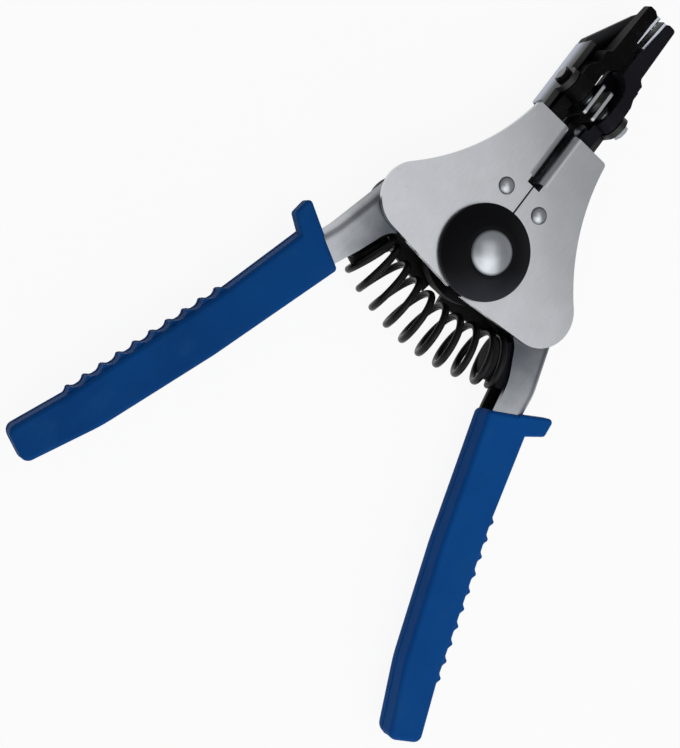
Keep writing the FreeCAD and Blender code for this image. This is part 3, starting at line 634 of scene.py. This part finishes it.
@dataclass(frozen=True)
class PolishedSteel(Finish):
    """Bright head or pin: light scuffs, painted shade with some soiling round the foot of each domed head,
    and painted shade on one rivet's end.

    Each head gives its place across and along, its radius and the share of the radius that is left unshaded.
    """

    tones: Pair = (0.86, 1.06)
    rough_span: Pair = (0.0, 0.14)
    cloud_scale: float = 420.0
    heads: tuple = ((0.0, 0.0, 5.35 * MM, 0.86), (5.6 * MM, 15.9 * MM, 2.15 * MM, 0.64))
    foot_reach: Pair = (1.3, 1.15)
    foot_show: float = 0.85
    grime: Colour = (0.07, 0.075, 0.08)
    dark_x: Pair = (-8.8 * MM, -9.0 * MM)
    dark_y: Pair = (41.0 * MM, 42.0 * MM)
    dark_show: float = 0.8
    scuff_scale: Point = (3200.0, 700.0, 3200.0)
    scuff_edge: Pair = (0.58, 0.7)
    dent_depth: float = 0.05 * MM

    def foot(self, graph: Graph, place: Wire) -> Wire:
        """Mask of the painted shade and soiling at the rims of the domed heads, which stand in mirrored
        places.

        Args:
            graph: the material's node graph.
            place: object coordinates.

        Returns:
            1 at the foot of a head and 0 elsewhere.
        """
        x, y, _ = graph.axes(place)
        rims = []
        for at_x, at_y, radius, share in self.heads:
            aside = abs(x) - at_x
            ahead = y - at_y
            reach = (aside * aside + ahead * ahead).root()
            near = reach.step(*(radius * part for part in self.foot_reach))
            rims.append(reach.step(radius * share, radius) * near)
        return rims[0].most(rims[1])

    def dress(self, graph: Graph) -> dict[str, Wire]:
        """Sockets of the polished surface.

        Args:
            graph: the material's node graph.

        Returns:
            A wire for each varying socket.
        """
        place = graph.place()
        cloud = graph.noise(place, self.cloud_scale)
        scuff = graph.noise(place, self.scuff_scale, 4.0).step(*self.scuff_edge)
        colour = self.tinted(graph, cloud)
        x, y, _ = graph.axes(place)
        # painted shade on one rivet's end on the left, and painted shade with some soiling round the foot of
        # each domed head
        end = x.step(*self.dark_x) * y.step(*self.dark_y)
        grime_and_shade_mask = (self.foot(graph, place) * self.foot_show).most(end * self.dark_show)
        return {
            "Base Color": graph.mix(grime_and_shade_mask, colour, self.grime),
            "Roughness": self.rough(scuff),
            "Normal": graph.bump(cloud, self.dent_depth, self.bump_show),
        }


@dataclass(frozen=True)
class OiledWire(Finish):
    """Black spring wire with a fine film of oil."""

    tones: Pair = (0.7, 1.7)
    rough_span: Pair = (-0.06, 0.14)
    cloud_scale: float = 650.0
    drawn_scale: float = 3000.0
    oil: Pair = (0.02, 0.08)

    def dress(self, graph: Graph) -> dict[str, Wire]:
        """Sockets of the wire.

        Args:
            graph: the material's node graph.

        Returns:
            A wire for each varying socket.
        """
        place = graph.place()
        cloud = graph.noise(place, self.cloud_scale)
        drawn = graph.noise(place, self.drawn_scale, 2.0)
        return {
            "Base Color": self.tinted(graph, cloud),
            "Roughness": self.rough(drawn),
            "Coat Weight": self.oil[0] + cloud * self.oil[1],
        }


@dataclass(frozen=True)
class GroundSteel(Finish):
    """Blade steel with grinding lines across its edge and painted shade on the side that faces the other
    blade.
    """

    tones: Pair = (0.8, 1.1)
    rough_span: Pair = (-0.05, 0.12)
    bump_show: float = 0.6
    cloud_scale: float = 300.0
    line_scale: Point = (500.0, 7000.0, 300.0)
    line_depth: float = 0.015 * MM
    inner_x: float = 0.8 * MM
    edge: float = 0.05 * MM
    dark: Colour = (0.006, 0.006, 0.008)

    def dress(self, graph: Graph) -> dict[str, Wire]:
        """Sockets of the ground surface.

        Args:
            graph: the material's node graph.

        Returns:
            A wire for each varying socket.
        """
        place = graph.place()
        lines = graph.noise(place, self.line_scale, 2.0)
        cloud = graph.noise(place, self.cloud_scale)
        across, _, _ = graph.axes(place)
        # painted shade: near-black on the faces near the middle, between the blades
        shaded_inner = abs(across).step(self.inner_x + self.edge, self.inner_x - self.edge)
        ground = self.tinted(graph, lines)
        return {
            "Base Color": graph.mix(shaded_inner, ground, self.dark),
            "Roughness": self.rough(cloud),
            "Normal": graph.bump(lines, self.line_depth, self.bump_show),
        }


@dataclass(frozen=True)
class MouldedGrip(Finish):
    """Blue moulded sleeve: eggshell texture, cloudy colour, paler worn patches, and painted light that makes
    it brighter towards the right.
    """

    tones: Pair = (0.72, 1.3)
    rough_span: Pair = (-0.04, 0.12)
    bump_show: float = 0.4
    egg_scale: float = 2100.0
    egg_depth: float = 0.05 * MM
    cloud_scale: float = 42.0
    cloud_edge: Pair = (0.25, 0.75)
    cloud_share: float = 0.45
    rubbed: Colour = (0.012, 0.085, 0.25)
    rub_scale: Point = (160.0, 90.0, 160.0)
    rub_edge: Pair = (0.5, 0.75)
    rub_show: float = 0.35
    side_from: float = -95.0 * MM
    side_to: float = 60.0 * MM

    def dress(self, graph: Graph) -> dict[str, Wire]:
        """Sockets of the moulded surface.

        Args:
            graph: the material's node graph.

        Returns:
            A wire for each varying socket.
        """
        place = graph.place()
        across, _, _ = graph.axes(place)
        egg = graph.noise(place, self.egg_scale, 2.0)
        cloud = graph.noise(place, self.cloud_scale, 4.0).step(*self.cloud_edge)
        rub = graph.noise(place, self.rub_scale, 5.0).step(*self.rub_edge)
        # painted light: lighter towards the right grip and darker towards the left one
        side = across.step(self.side_from, self.side_to)
        colour = self.tinted(graph, cloud * self.cloud_share + side * (1.0 - self.cloud_share))
        return {
            "Base Color": graph.mix(rub * self.rub_show, colour, self.rubbed),
            "Roughness": self.rough(egg),
            "Normal": graph.bump(egg, self.egg_depth, self.bump_show),
        }


@dataclass
class Palette:
    """The finish of each material slot of the record."""

    made: dict[str, bpy.types.Material] = field(default_factory=dict)

    def finishes(self) -> list[Finish]:
        """All the finishes, named for their slots.

        Returns:
            One finish for each slot, and one lever finish for each side.
        """
        lever = {"base": (0.49, 0.505, 0.535), "roughness": 0.4, "metallic": 1.0, "tones": (0.92, 1.08)}
        # settings of the blackened jaws, with the share of their painted sheen
        oxide = {"roughness": 0.5, "specular": 0.06, "thin_share": 0.8}
        return [
            FrameSheet("satin_plate", (0.60, 0.61, 0.64), roughness=0.3, metallic=1.0),
            ChannelSheet("satin_lever_left", outward=Side.LEFT.value, **lever),
            ChannelSheet("satin_lever_right", outward=Side.RIGHT.value, dull_to=46.0 * MM, **lever),
            BracketSheet("satin_lever", (0.45, 0.48, 0.56), roughness=0.4, metallic=1.0),
            # painted shade: the rear plates are made near-black for the shade under the front plates
            BlackOxide("dark_plate", (0.008, 0.008, 0.009), roughness=0.5, specular=0.2),
            BlackOxide("black_steel", (0.0015, 0.0015, 0.002), **oxide),
            TurnedBlack("black_cap", (0.003, 0.003, 0.004), roughness=0.5, specular=0.09),
            PolishedSteel("bright_steel", (0.52, 0.545, 0.575), roughness=0.34, metallic=1.0),
            OiledWire("spring_wire", (0.004, 0.004, 0.0045), roughness=0.34, specular=0.16),
            GroundSteel("blade_steel", (0.50, 0.53, 0.58), roughness=0.36, metallic=1.0),
            MouldedGrip("blue_grip", (0.0022, 0.061, 0.246), roughness=0.55, specular=0.045),
        ]

    def mix(self) -> None:
        """Make all the materials."""
        for finish in self.finishes():
            self.made[finish.name] = finish.material()

    def paint(self) -> None:
        """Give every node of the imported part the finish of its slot."""
        for subpart in frame["record"]["subparts"]:
            name, slot = subpart["node"], subpart["material_slot"]
            if name.endswith("_lever"):
                slot = f"satin_lever_{name.split('_')[0]}"
            mesh = frame["nodes"][name].data
            mesh.materials.clear()
            mesh.materials.append(self.made[slot])
            LOG.info("painted %s with %s", name, slot)


class NodeTree:
    """A geometry tree with named inputs, run once on a carrier object to give a plain mesh."""

    def __init__(self, name: str, inputs: dict[str, Any]) -> None:
        """Start a tree.

        Args:
            name: the tree's name.
            inputs: the value of each named input, whose type gives the socket's type.
        """
        kinds = {float: "Float", int: "Int", tuple: "Vector"}
        self.tree = bpy.data.node_groups.new(name, "GeometryNodeTree")
        face = self.tree.interface
        face.new_socket("Geometry", in_out="INPUT", socket_type="NodeSocketGeometry")
        self.values = inputs
        self.ids: dict[str, str] = {}
        for label, value in inputs.items():
            kind = f"NodeSocket{kinds.get(type(value), 'Object')}"
            self.ids[label] = face.new_socket(label, in_out="INPUT", socket_type=kind).identifier
        face.new_socket("Geometry", in_out="OUTPUT", socket_type="NodeSocketGeometry")
        self.graph = Graph(self.tree)
        self.entry = self.graph.node("NodeGroupInput")

    def get(self, label: str) -> Wire:
        """Wire of a named input."""
        return self.entry.out(label)

    def share(self) -> Wire:
        """Share of a curve's length at each of its points."""
        return self.graph.node("GeometryNodeSplineParameter", output="Factor")

    def path(self, count: str, x: Wire, y: Wire, z: Wire) -> Wire:
        """Curve through points whose places follow from their share of its length.

        Args:
            count: the named input of the number of points.
            x: place across, in metres.
            y: place along, in metres.
            z: height, in metres.

        Returns:
            The curve.
        """
        line = self.graph.node("GeometryNodeCurvePrimitiveLine")
        points = self.graph.node(
            "GeometryNodeResampleCurve", None, {"Curve": line, "Count": self.get(count)},
        )
        spot = self.graph.node("ShaderNodeCombineXYZ", None, {0: x, 1: y, 2: z})
        return self.graph.node("GeometryNodeSetPosition", None, {"Geometry": points, "Position": spot})

    def sweep(self, path: Wire, radius: str, sides: str, material: bpy.types.Material) -> None:
        """End the tree in a smooth round wire along a curve.

        Args:
            path: the curve.
            radius: the named input of the wire's radius.
            sides: the named input of the number of its sides.
            material: the wire's finish.
        """
        ring = self.graph.node(
            "GeometryNodeCurvePrimitiveCircle", None,
            {"Resolution": self.get(sides), "Radius": self.get(radius)},
        )
        tube = self.graph.node(
            "GeometryNodeCurveToMesh", None, {"Curve": path, "Profile Curve": ring, "Fill Caps": True},
        )
        self.finish(self.graph.node("GeometryNodeSetShadeSmooth", None, {"Geometry": tube}), material)

    def finish(self, geometry: Wire, material: bpy.types.Material) -> None:
        """End the tree in Realize Instances and Set Material.

        Args:
            geometry: what the tree has made.
            material: the finish of the result.
        """
        real = self.graph.node("GeometryNodeRealizeInstances", None, {"Geometry": geometry})
        painted = self.graph.node("GeometryNodeSetMaterial", None, {"Geometry": real, "Material": material})
        self.graph.node("NodeGroupOutput", None, {"Geometry": painted})

    def bake(
        self, name: str, carrier: Optional[bpy.types.Mesh] = None, **changes: Any,
    ) -> bpy.types.Object:
        """Run the tree and keep its result as a plain mesh.

        Args:
            name: the new piece's name.
            carrier: the mesh that the tree starts from, if it needs one.
            changes: values for named inputs, with _ in place of spaces.

        Returns:
            The new object, at the origin with no modifier.
        """
        maker = put(f"{name}_maker", carrier or bpy.data.meshes.new(f"{name}_carrier"))
        modifier = maker.modifiers.new("tree", "NODES")
        modifier.node_group = self.tree
        values = dict(self.values)
        values.update({label.replace("_", " "): value for label, value in changes.items()})
        for label, value in values.items():
            modifier[self.ids[label]] = value
        shown = maker.evaluated_get(bpy.context.evaluated_depsgraph_get())
        mesh = bpy.data.meshes.new_from_object(shown)
        mesh.name = name
        piece = put(name, mesh)
        maker.modifiers.remove(modifier)
        bpy.data.objects.remove(maker)
        LOG.info("made %s with %d faces", name, len(mesh.polygons))
        return piece


@dataclass
class ReturnSpring:
    """Coil spring bent between the levers, cut into three runs; its lean, tilt and slide fade out towards
    both ends.
    """

    end_x: float = 21.3 * MM
    end_y: float = -16.5 * MM
    mid_y: float = -21.2 * MM
    level: float = 7.3 * MM
    coil_r: float = 6.25 * MM
    wire_r: float = 0.9 * MM
    wire_sides: int = 20
    turns: float = 9.5
    steps: int = 640
    lean: Pair = (0.124, 0.09)
    tilt: Pair = (-0.095, 0.16)
    slide: Point = (-2.0 * MM, 0.65 * MM, 3.0 * MM)
    settle: float = 0.1
    cuts: tuple = (0.0, 0.25, 0.75, 1.0)
    bodies: tuple = ("left_lever", "left_frame", "right_frame", "right_lever")

    def axis(self, share: float) -> Vector:
        """Point on the bent axis; share runs from 0 at the left to 1 at the right."""
        t = 2 * share - 1
        return Vector((self.end_x * t, self.end_y + (self.mid_y - self.end_y) * (1 - t * t), self.level))

    def tree(self, material: bpy.types.Material) -> NodeTree:
        """Tree that winds wire round the bent axis between two shares of its length.

        Args:
            material: the wire's finish.

        Returns:
            The tree, with its sizes as named inputs.
        """
        made = NodeTree("return_coil", {
            "End X": self.end_x, "End Y": self.end_y, "Mid Y": self.mid_y, "Level": self.level,
            "Coil Radius": self.coil_r, "Wire Radius": self.wire_r, "Turns": self.turns,
            "Lean Left": self.lean[0], "Lean Right": self.lean[1],
            "Tilt Left": self.tilt[0], "Tilt Right": self.tilt[1],
            "Slide Left": self.slide[0], "Slide Middle": self.slide[1], "Slide Right": self.slide[2],
            "Share From": 0.0, "Share To": 1.0, "Steps": self.steps, "Wire Sides": self.wire_sides,
        })
        get = made.get
        share = get("Share From") + (get("Share To") - get("Share From")) * made.share()
        rest = 1.0 - share
        t = share * 2.0 - 1.0
        sag = get("Mid Y") - get("End Y")
        run_x = get("End X")
        run_y = sag * t * -2.0
        length = (run_x * run_x + run_y * run_y).root()
        turn = share * get("Turns") * FULL_TURN
        lift = get("Coil Radius") * turn.cosine()
        depth = get("Coil Radius") * turn.sine()
        lean = get("Lean Left") * rest + get("Lean Right") * share
        tilt = get("Tilt Left") * rest + get("Tilt Right") * share
        slide = get("Slide Left") * rest * (rest - share) + get("Slide Middle") * share * rest * 4.0
        slide = slide + get("Slide Right") * share * (share - rest)
        free = share.step(0.0, self.settle) * share.step(1.0, 1.0 - self.settle)
        slide = free * (slide - lean * depth + tilt * lift)
        x = run_x * t + (slide * run_x - lift * run_y) / length
        y = get("End Y") + sag * (1.0 - t * t) + (slide * run_y + lift * run_x) / length
        coil = made.path("Steps", x, y, get("Level") + depth)
        made.sweep(coil, "Wire Radius", "Wire Sides", material)
        return made

    def marks(self, piece: bpy.types.Object, start: float, end: float) -> list[Vector]:
        """Points on the axis line level with the two cut ends of a run.

        Args:
            piece: the run's object.
            start: share of the axis where the run starts.
            end: share of the axis where it ends.

        Returns:
            One point on the axis line for each end.
        """
        spots = [vertex.co for vertex in piece.data.vertices]
        rings = (spots[:self.wire_sides], spots[-self.wire_sides:])
        tips = [sum(ring, Vector()) / self.wire_sides for ring in rings]
        along = (self.axis(end) - self.axis(start)).normalized()
        return [
            self.axis(share) + along * (tip - self.axis(share)).dot(along)
            for share, tip in zip((start, end), tips)
        ]

    def build(self, palette: Palette) -> None:
        """Wind the three runs and hide the imported spring.

        Args:
            palette: the made materials.
        """
        tree = self.tree(palette.made["spring_wire"])
        for i in range(len(self.cuts) - 1):
            start, end = self.cuts[i], self.cuts[i + 1]
            piece = tree.bake(
                f"return_spring_run_{i + 1}", Share_From=start, Share_To=end,
                Steps=int(self.steps * (end - start)) + 1,
            )
            first, last = self.marks(piece, start, end)
            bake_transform(piece)
            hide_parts("return_spring")


@dataclass
class JawSprings:
    """Torsion springs round the jaw pins, between the ear and the barrel."""

    turns: float = 2.0
    steps: int = 97
    wire_r: float = 0.33 * MM
    wire_sides: int = 12

    def tree(self, material: bpy.types.Material) -> NodeTree:
        """Tree that winds a straight coil along X.

        Args:
            material: the wire's finish.

        Returns:
            The tree, with its sizes as named inputs.
        """
        made = NodeTree("jaw_coil", {
            "Start": (0.0, 0.0, 0.0), "Run": MM, "Coil Radius": 2 * MM, "Wire Radius": self.wire_r,
            "Turns": self.turns, "Steps": self.steps, "Wire Sides": self.wire_sides,
        })
        get = made.get
        share = made.share()
        turn = share * get("Turns") * FULL_TURN
        start_x, start_y, start_z = made.graph.axes(get("Start"))
        coil = made.path(
            "Steps", start_x + get("Run") * share, start_y + get("Coil Radius") * turn.cosine(),
            start_z + get("Coil Radius") * turn.sine(),
        )
        made.sweep(coil, "Wire Radius", "Wire Sides", material)
        return made

    def build(self, palette: Palette) -> None:
        """Wind one spring on each jaw pin.

        Args:
            palette: the made materials.
        """
        tree = self.tree(palette.made["spring_wire"])
        for side in Side:
            node = f"{side.word}_jaw_spring"
            low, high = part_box(node)
            centre = (low + high) / 2
            piece = tree.bake(
                f"{side.word}_jaw_torsion_spring", Start=(low.x + self.wire_r, centre.y, centre.z),
                Run=high.x - low.x - 2 * self.wire_r, Coil_Radius=(high.z - low.z) / 2 - self.wire_r,
            )
            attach(piece, side.body("frame"))
            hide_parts(node)


@dataclass
class GripSeams:
    """Fine raised line where the two halves of the grip's mould met."""

    bead_r: float = 0.16 * MM
    bead_sides: int = 8
    spacing: float = 0.5 * MM
    merge: float = 0.001 * MM
    touch: float = 0.0001 * MM

    def tree(self, material: bpy.types.Material) -> NodeTree:
        """Tree that lays a bead along the edges of its mesh.

        Args:
            material: the grip's finish.

        Returns:
            The tree, with its sizes as named inputs.
        """
        made = NodeTree("mould_seam", {
            "Bead Radius": self.bead_r, "Bead Sides": self.bead_sides, "Spacing": self.spacing,
        })
        path = made.graph.node("GeometryNodeMeshToCurve", None, {"Mesh": made.get("Geometry")})
        even = made.graph.node(
            "GeometryNodeResampleCurve", {"mode": "LENGTH"}, {"Curve": path, "Length": made.get("Spacing")},
        )
        made.sweep(even, "Bead Radius", "Bead Sides", material)
        return made

    def outline(self, node: str) -> bpy.types.Mesh:
        """Outer edge loop where the middle plane of a grip cuts its surface.

        Args:
            node: the grip's node.

        Returns:
            A mesh of edges on the middle plane.
        """
        low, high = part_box(node)
        level = (low.z + high.z) / 2
        cut = bmesh.new()
        cut.from_mesh(frame["nodes"][node].data)
        bmesh.ops.remove_doubles(cut, verts=cut.verts, dist=self.merge)
        found = bmesh.ops.bisect_plane(
            cut, geom=elements(cut), dist=self.touch, plane_co=(0, 0, level), plane_no=(0, 0, 1),
            clear_inner=True, clear_outer=True,
        )
        edges = [item for item in found["geom_cut"] if isinstance(item, bmesh.types.BMEdge)]
        keep = self.longest_loop(edges)
        bmesh.ops.delete(cut, geom=[edge for edge in cut.edges if edge not in keep], context="EDGES")
        mesh = bpy.data.meshes.new(f"{node}_seam_path")
        cut.to_mesh(mesh)
        cut.free()
        return mesh

    @staticmethod
    def longest_loop(edges: list[bmesh.types.BMEdge]) -> set[bmesh.types.BMEdge]:
        """The connected run of edges with the greatest length.

        Args:
            edges: all the edges of the cut.

        Returns:
            The edges of the longest run.
        """
        left = set(edges)
        best: set[bmesh.types.BMEdge] = set()
        best_length = 0.0
        while left:
            run, front = set(), [left.pop()]
            while front:
                edge = front.pop()
                run.add(edge)
                for vert in edge.verts:
                    for other in vert.link_edges:
                        if other in left:
                            left.discard(other)
                            front.append(other)
            length = sum(edge.calc_length() for edge in run)
            if length > best_length:
                best, best_length = run, length
        return best

    def build(self, palette: Palette) -> None:
        """Lay one seam round each grip.

        Args:
            palette: the made materials.
        """
        tree = self.tree(palette.made["blue_grip"])
        for side in Side:
            piece = tree.bake(f"{side.word}_grip_seam", self.outline(f"{side.word}_grip"))
            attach(piece, side.body("lever"))


@dataclass
class JawScrews:
    """Slotted cheese-head screws that hold the fixed jaws, seen from the rear."""

    head_r: float = 1.5 * MM
    head_h: float = 0.9 * MM
    head_sides: int = 40
    slot_w: float = 0.5 * MM
    slot_depth: float = 0.45 * MM
    slot_inset: float = 0.98
    touch: float = 0.0001 * MM
    spots: tuple = ((5.4 * MM, 54.0 * MM),)
    seed: int = 7

    def head(self, material: bpy.types.Material) -> bpy.types.Object:
        """One screw head at the origin, its top towards -Z, with a slot across it.

        Args:
            material: the screw's finish.

        Returns:
            The head, which the tree repeats.
        """
        half = self.slot_w / 2
        floor = -(self.head_h - self.slot_depth)
        shape = bmesh.new()
        bmesh.ops.create_cone(
            shape, cap_ends=True, segments=self.head_sides, radius1=self.head_r, radius2=self.head_r,
            depth=self.head_h, matrix=Matrix.Translation((0, 0, -self.head_h / 2)),
        )
        for spot, way in (
            ((0, -half, 0), (0, 1, 0)), ((0, half, 0), (0, 1, 0)), ((0, 0, floor), (0, 0, 1)),
        ):
            bmesh.ops.bisect_plane(shape, geom=elements(shape), plane_co=spot, plane_no=way)
        inside = []
        for face in shape.faces:
            middle = face.calc_center_median()
            if abs(middle.y) < half * self.slot_inset and middle.z < floor - self.touch:
                inside.append(face)
        bmesh.ops.delete(shape, geom=inside, context="FACES")
        rim = [edge for edge in shape.edges if edge.is_boundary]
        bmesh.ops.holes_fill(shape, edges=rim, sides=0)
        bmesh.ops.recalc_face_normals(shape, faces=shape.faces)
        mesh = bpy.data.meshes.new("screw_head")
        shape.to_mesh(mesh)
        shape.free()
        mesh.materials.append(material)
        return put("screw_head", mesh)

    def tree(self, head: bpy.types.Object, material: bpy.types.Material) -> NodeTree:
        """Tree that puts a head on each point, each turned at random.

        Args:
            head: the screw head.
            material: the screw's finish.

        Returns:
            The tree, with its seed as a named input.
        """
        made = NodeTree("jaw_screws", {"Head": head, "Seed": self.seed})
        graph = made.graph
        info = graph.node("GeometryNodeObjectInfo", None, {"Object": made.get("Head")}, output="Geometry")
        turn = graph.node("FunctionNodeRandomValue", {"data_type": "FLOAT"}, {
            2: 0.0, 3: math.pi, "Seed": made.get("Seed"),
        }, output=1)
        rotation = graph.node("ShaderNodeCombineXYZ", None, {2: turn})
        copies = graph.node("GeometryNodeInstanceOnPoints", None, {
            "Points": made.get("Geometry"), "Instance": info, "Rotation": rotation,
        })
        made.finish(copies, material)
        return made

    def build(self, palette: Palette) -> None:
        """Set the screws under each bracket.

        Args:
            palette: the made materials.
        """
        steel = palette.made["bright_steel"]
        head = self.head(steel)
        tree = self.tree(head, steel)
        for side in Side:
            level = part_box(f"{side.word}_jaw_bracket")[0].z
            points = bpy.data.meshes.new(f"{side.word}_screw_points")
            points.from_pydata([(side.value * x, y, level) for x, y in self.spots], [], [])
            piece = tree.bake(f"{side.word}_jaw_screws", points)
            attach(piece, side.body("frame"))
        bpy.data.objects.remove(head)


def stance(at: Point, right: Any, up: Any, back: Any) -> Matrix:
    """Where a camera or a lamp stands and how it is turned.

    Args:
        at: its place in metres.
        right: direction to its right.
        up: direction to its top.
        back: direction behind it.

    Returns:
        The matrix of its object.
    """
    turn = Matrix((right, up, back)).transposed()
    return Matrix.Translation(at) @ turn.to_4x4()


@dataclass(frozen=True)
class SoftLamp:
    """A soft rectangular lamp; its second side follows the long way."""

    name: str
    at: Point
    aim: Point
    long_way: Point
    size: Pair
    watts: float

    def hang(self) -> None:
        """Put the lamp in the scene."""
        data = bpy.data.lights.new(self.name, "AREA")
        data.shape = "RECTANGLE"
        data.size, data.size_y = self.size
        data.energy = self.watts
        back = (Vector(self.at) - Vector(self.aim)).normalized()
        across = Vector(self.long_way).cross(back).normalized()
        put(self.name, data).matrix_world = stance(self.at, across, back.cross(across), back)


@dataclass
class Studio:
    """Pale floor, soft lamps and the camera at the photograph's viewing angle.

    The window lamp is what the plates mirror, and the fill stands beyond the grips.
    """

    camera_at: Point = (-117.96 * MM, -91.08 * MM, 325.92 * MM)
    camera_right: Point = (0.72489, 0.59945, 0.3394)
    camera_down: Point = (0.6086, -0.78811, 0.09212)
    camera_into: Point = (0.3227, 0.13978, -0.93612)
    camera_reach: Pair = (0.01, 20.0)
    sensor: float = 36.0
    focal_px: float = 1449.0
    frame_px: float = 748.0
    floor_half: float = 2.0
    floor_level: float = -0.05 * MM
    floor_matt: Colour = (0.8, 0.8, 0.8)
    floor_glow: float = 0.92
    sky: Colour = (0.96, 0.98, 1.0)
    sky_strength: float = 0.3
    lamps: tuple = (
        SoftLamp("window", (0.32, -0.12, 0.8), (0.32, -0.12, 0.0), (0.61, -0.79, 0.0), (0.55, 1.4), 1.6),
        SoftLamp("fill", (0.67, -0.87, 0.9), (0.0, -0.01, 0.01), (0.79, 0.61, 0.0), (2.4, 2.4), 15.0),
    )

    def camera(self) -> None:
        """Place the camera and make it the scene's own."""
        data = bpy.data.cameras.new("camera")
        data.sensor_width = self.sensor
        data.lens = self.sensor * self.focal_px / self.frame_px
        data.clip_start, data.clip_end = self.camera_reach
        made = put("camera", data)
        up, back = (tuple(-part for part in way) for way in (self.camera_down, self.camera_into))
        made.matrix_world = stance(self.camera_at, self.camera_right, up, back)
        bpy.context.scene.camera = made

    def floor(self) -> None:
        """Lay a pale floor that shows almost white, keeps a faint shadow and is clear from below."""
        half, low = self.floor_half, self.floor_level
        corner_points = [(-half, -half, low), (half, -half, low), (half, half, low), (-half, half, low)]
        mesh = bpy.data.meshes.new("floor")
        mesh.from_pydata(corner_points, [], [(0, 1, 2, 3)])
        material = bpy.data.materials.new("pale_floor")
        graph = Graph.on(material)
        ray = graph.node("ShaderNodeLightPath", output="Is Camera Ray")
        seen = ray.most(ray.out("Is Glossy Ray")).most(ray.out("Is Transmission Ray"))
        matt = graph.node("ShaderNodeBsdfDiffuse", None, {"Color": (*self.floor_matt, 1.0)})
        glow = graph.node("ShaderNodeEmission", None, {"Color": (*WHITE, 1.0), "Strength": 1.0})
        both = graph.node("ShaderNodeMixShader", None, {0: seen * self.floor_glow, 1: matt, 2: glow})
        below = graph.node("ShaderNodeNewGeometry", output="Backfacing")
        clear = graph.node("ShaderNodeBsdfTransparent")
        whole = graph.node("ShaderNodeMixShader", None, {0: below, 1: both, 2: clear})
        graph.node("ShaderNodeOutputMaterial", None, {"Surface": whole})
        mesh.materials.append(material)
        put("floor", mesh)

    def world(self) -> None:
        """Even sky light; the camera sees it as almost white."""
        world = bpy.data.worlds.new("studio")
        bpy.context.scene.world = world
        graph = Graph.on(world)
        ray = graph.node("ShaderNodeLightPath", output="Is Camera Ray")
        strength = ray * (1.0 - self.sky_strength) + self.sky_strength
        light = graph.node("ShaderNodeBackground", None, {"Color": (*self.sky, 1.0), "Strength": strength})
        graph.node("ShaderNodeOutputWorld", None, {"Surface": light})

    def build(self) -> None:
        """Set up the camera, the floor and the light."""
        self.camera()
        self.floor()
        self.world()
        for lamp in self.lamps:
            lamp.hang()
        bpy.context.scene.view_settings.view_transform = "Standard"


def main() -> None:
    """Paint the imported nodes, add the pieces of the scene and set up the studio."""
    logging.basicConfig(level=logging.INFO, format="%(name)s: %(message)s")
    palette = Palette()
    palette.mix()
    palette.paint()
    for assembly in (ReturnSpring(), JawSprings(), GripSeams(), JawScrews()):
        assembly.build(palette)
    Studio().build()


if __name__ == "__main__":
    main()
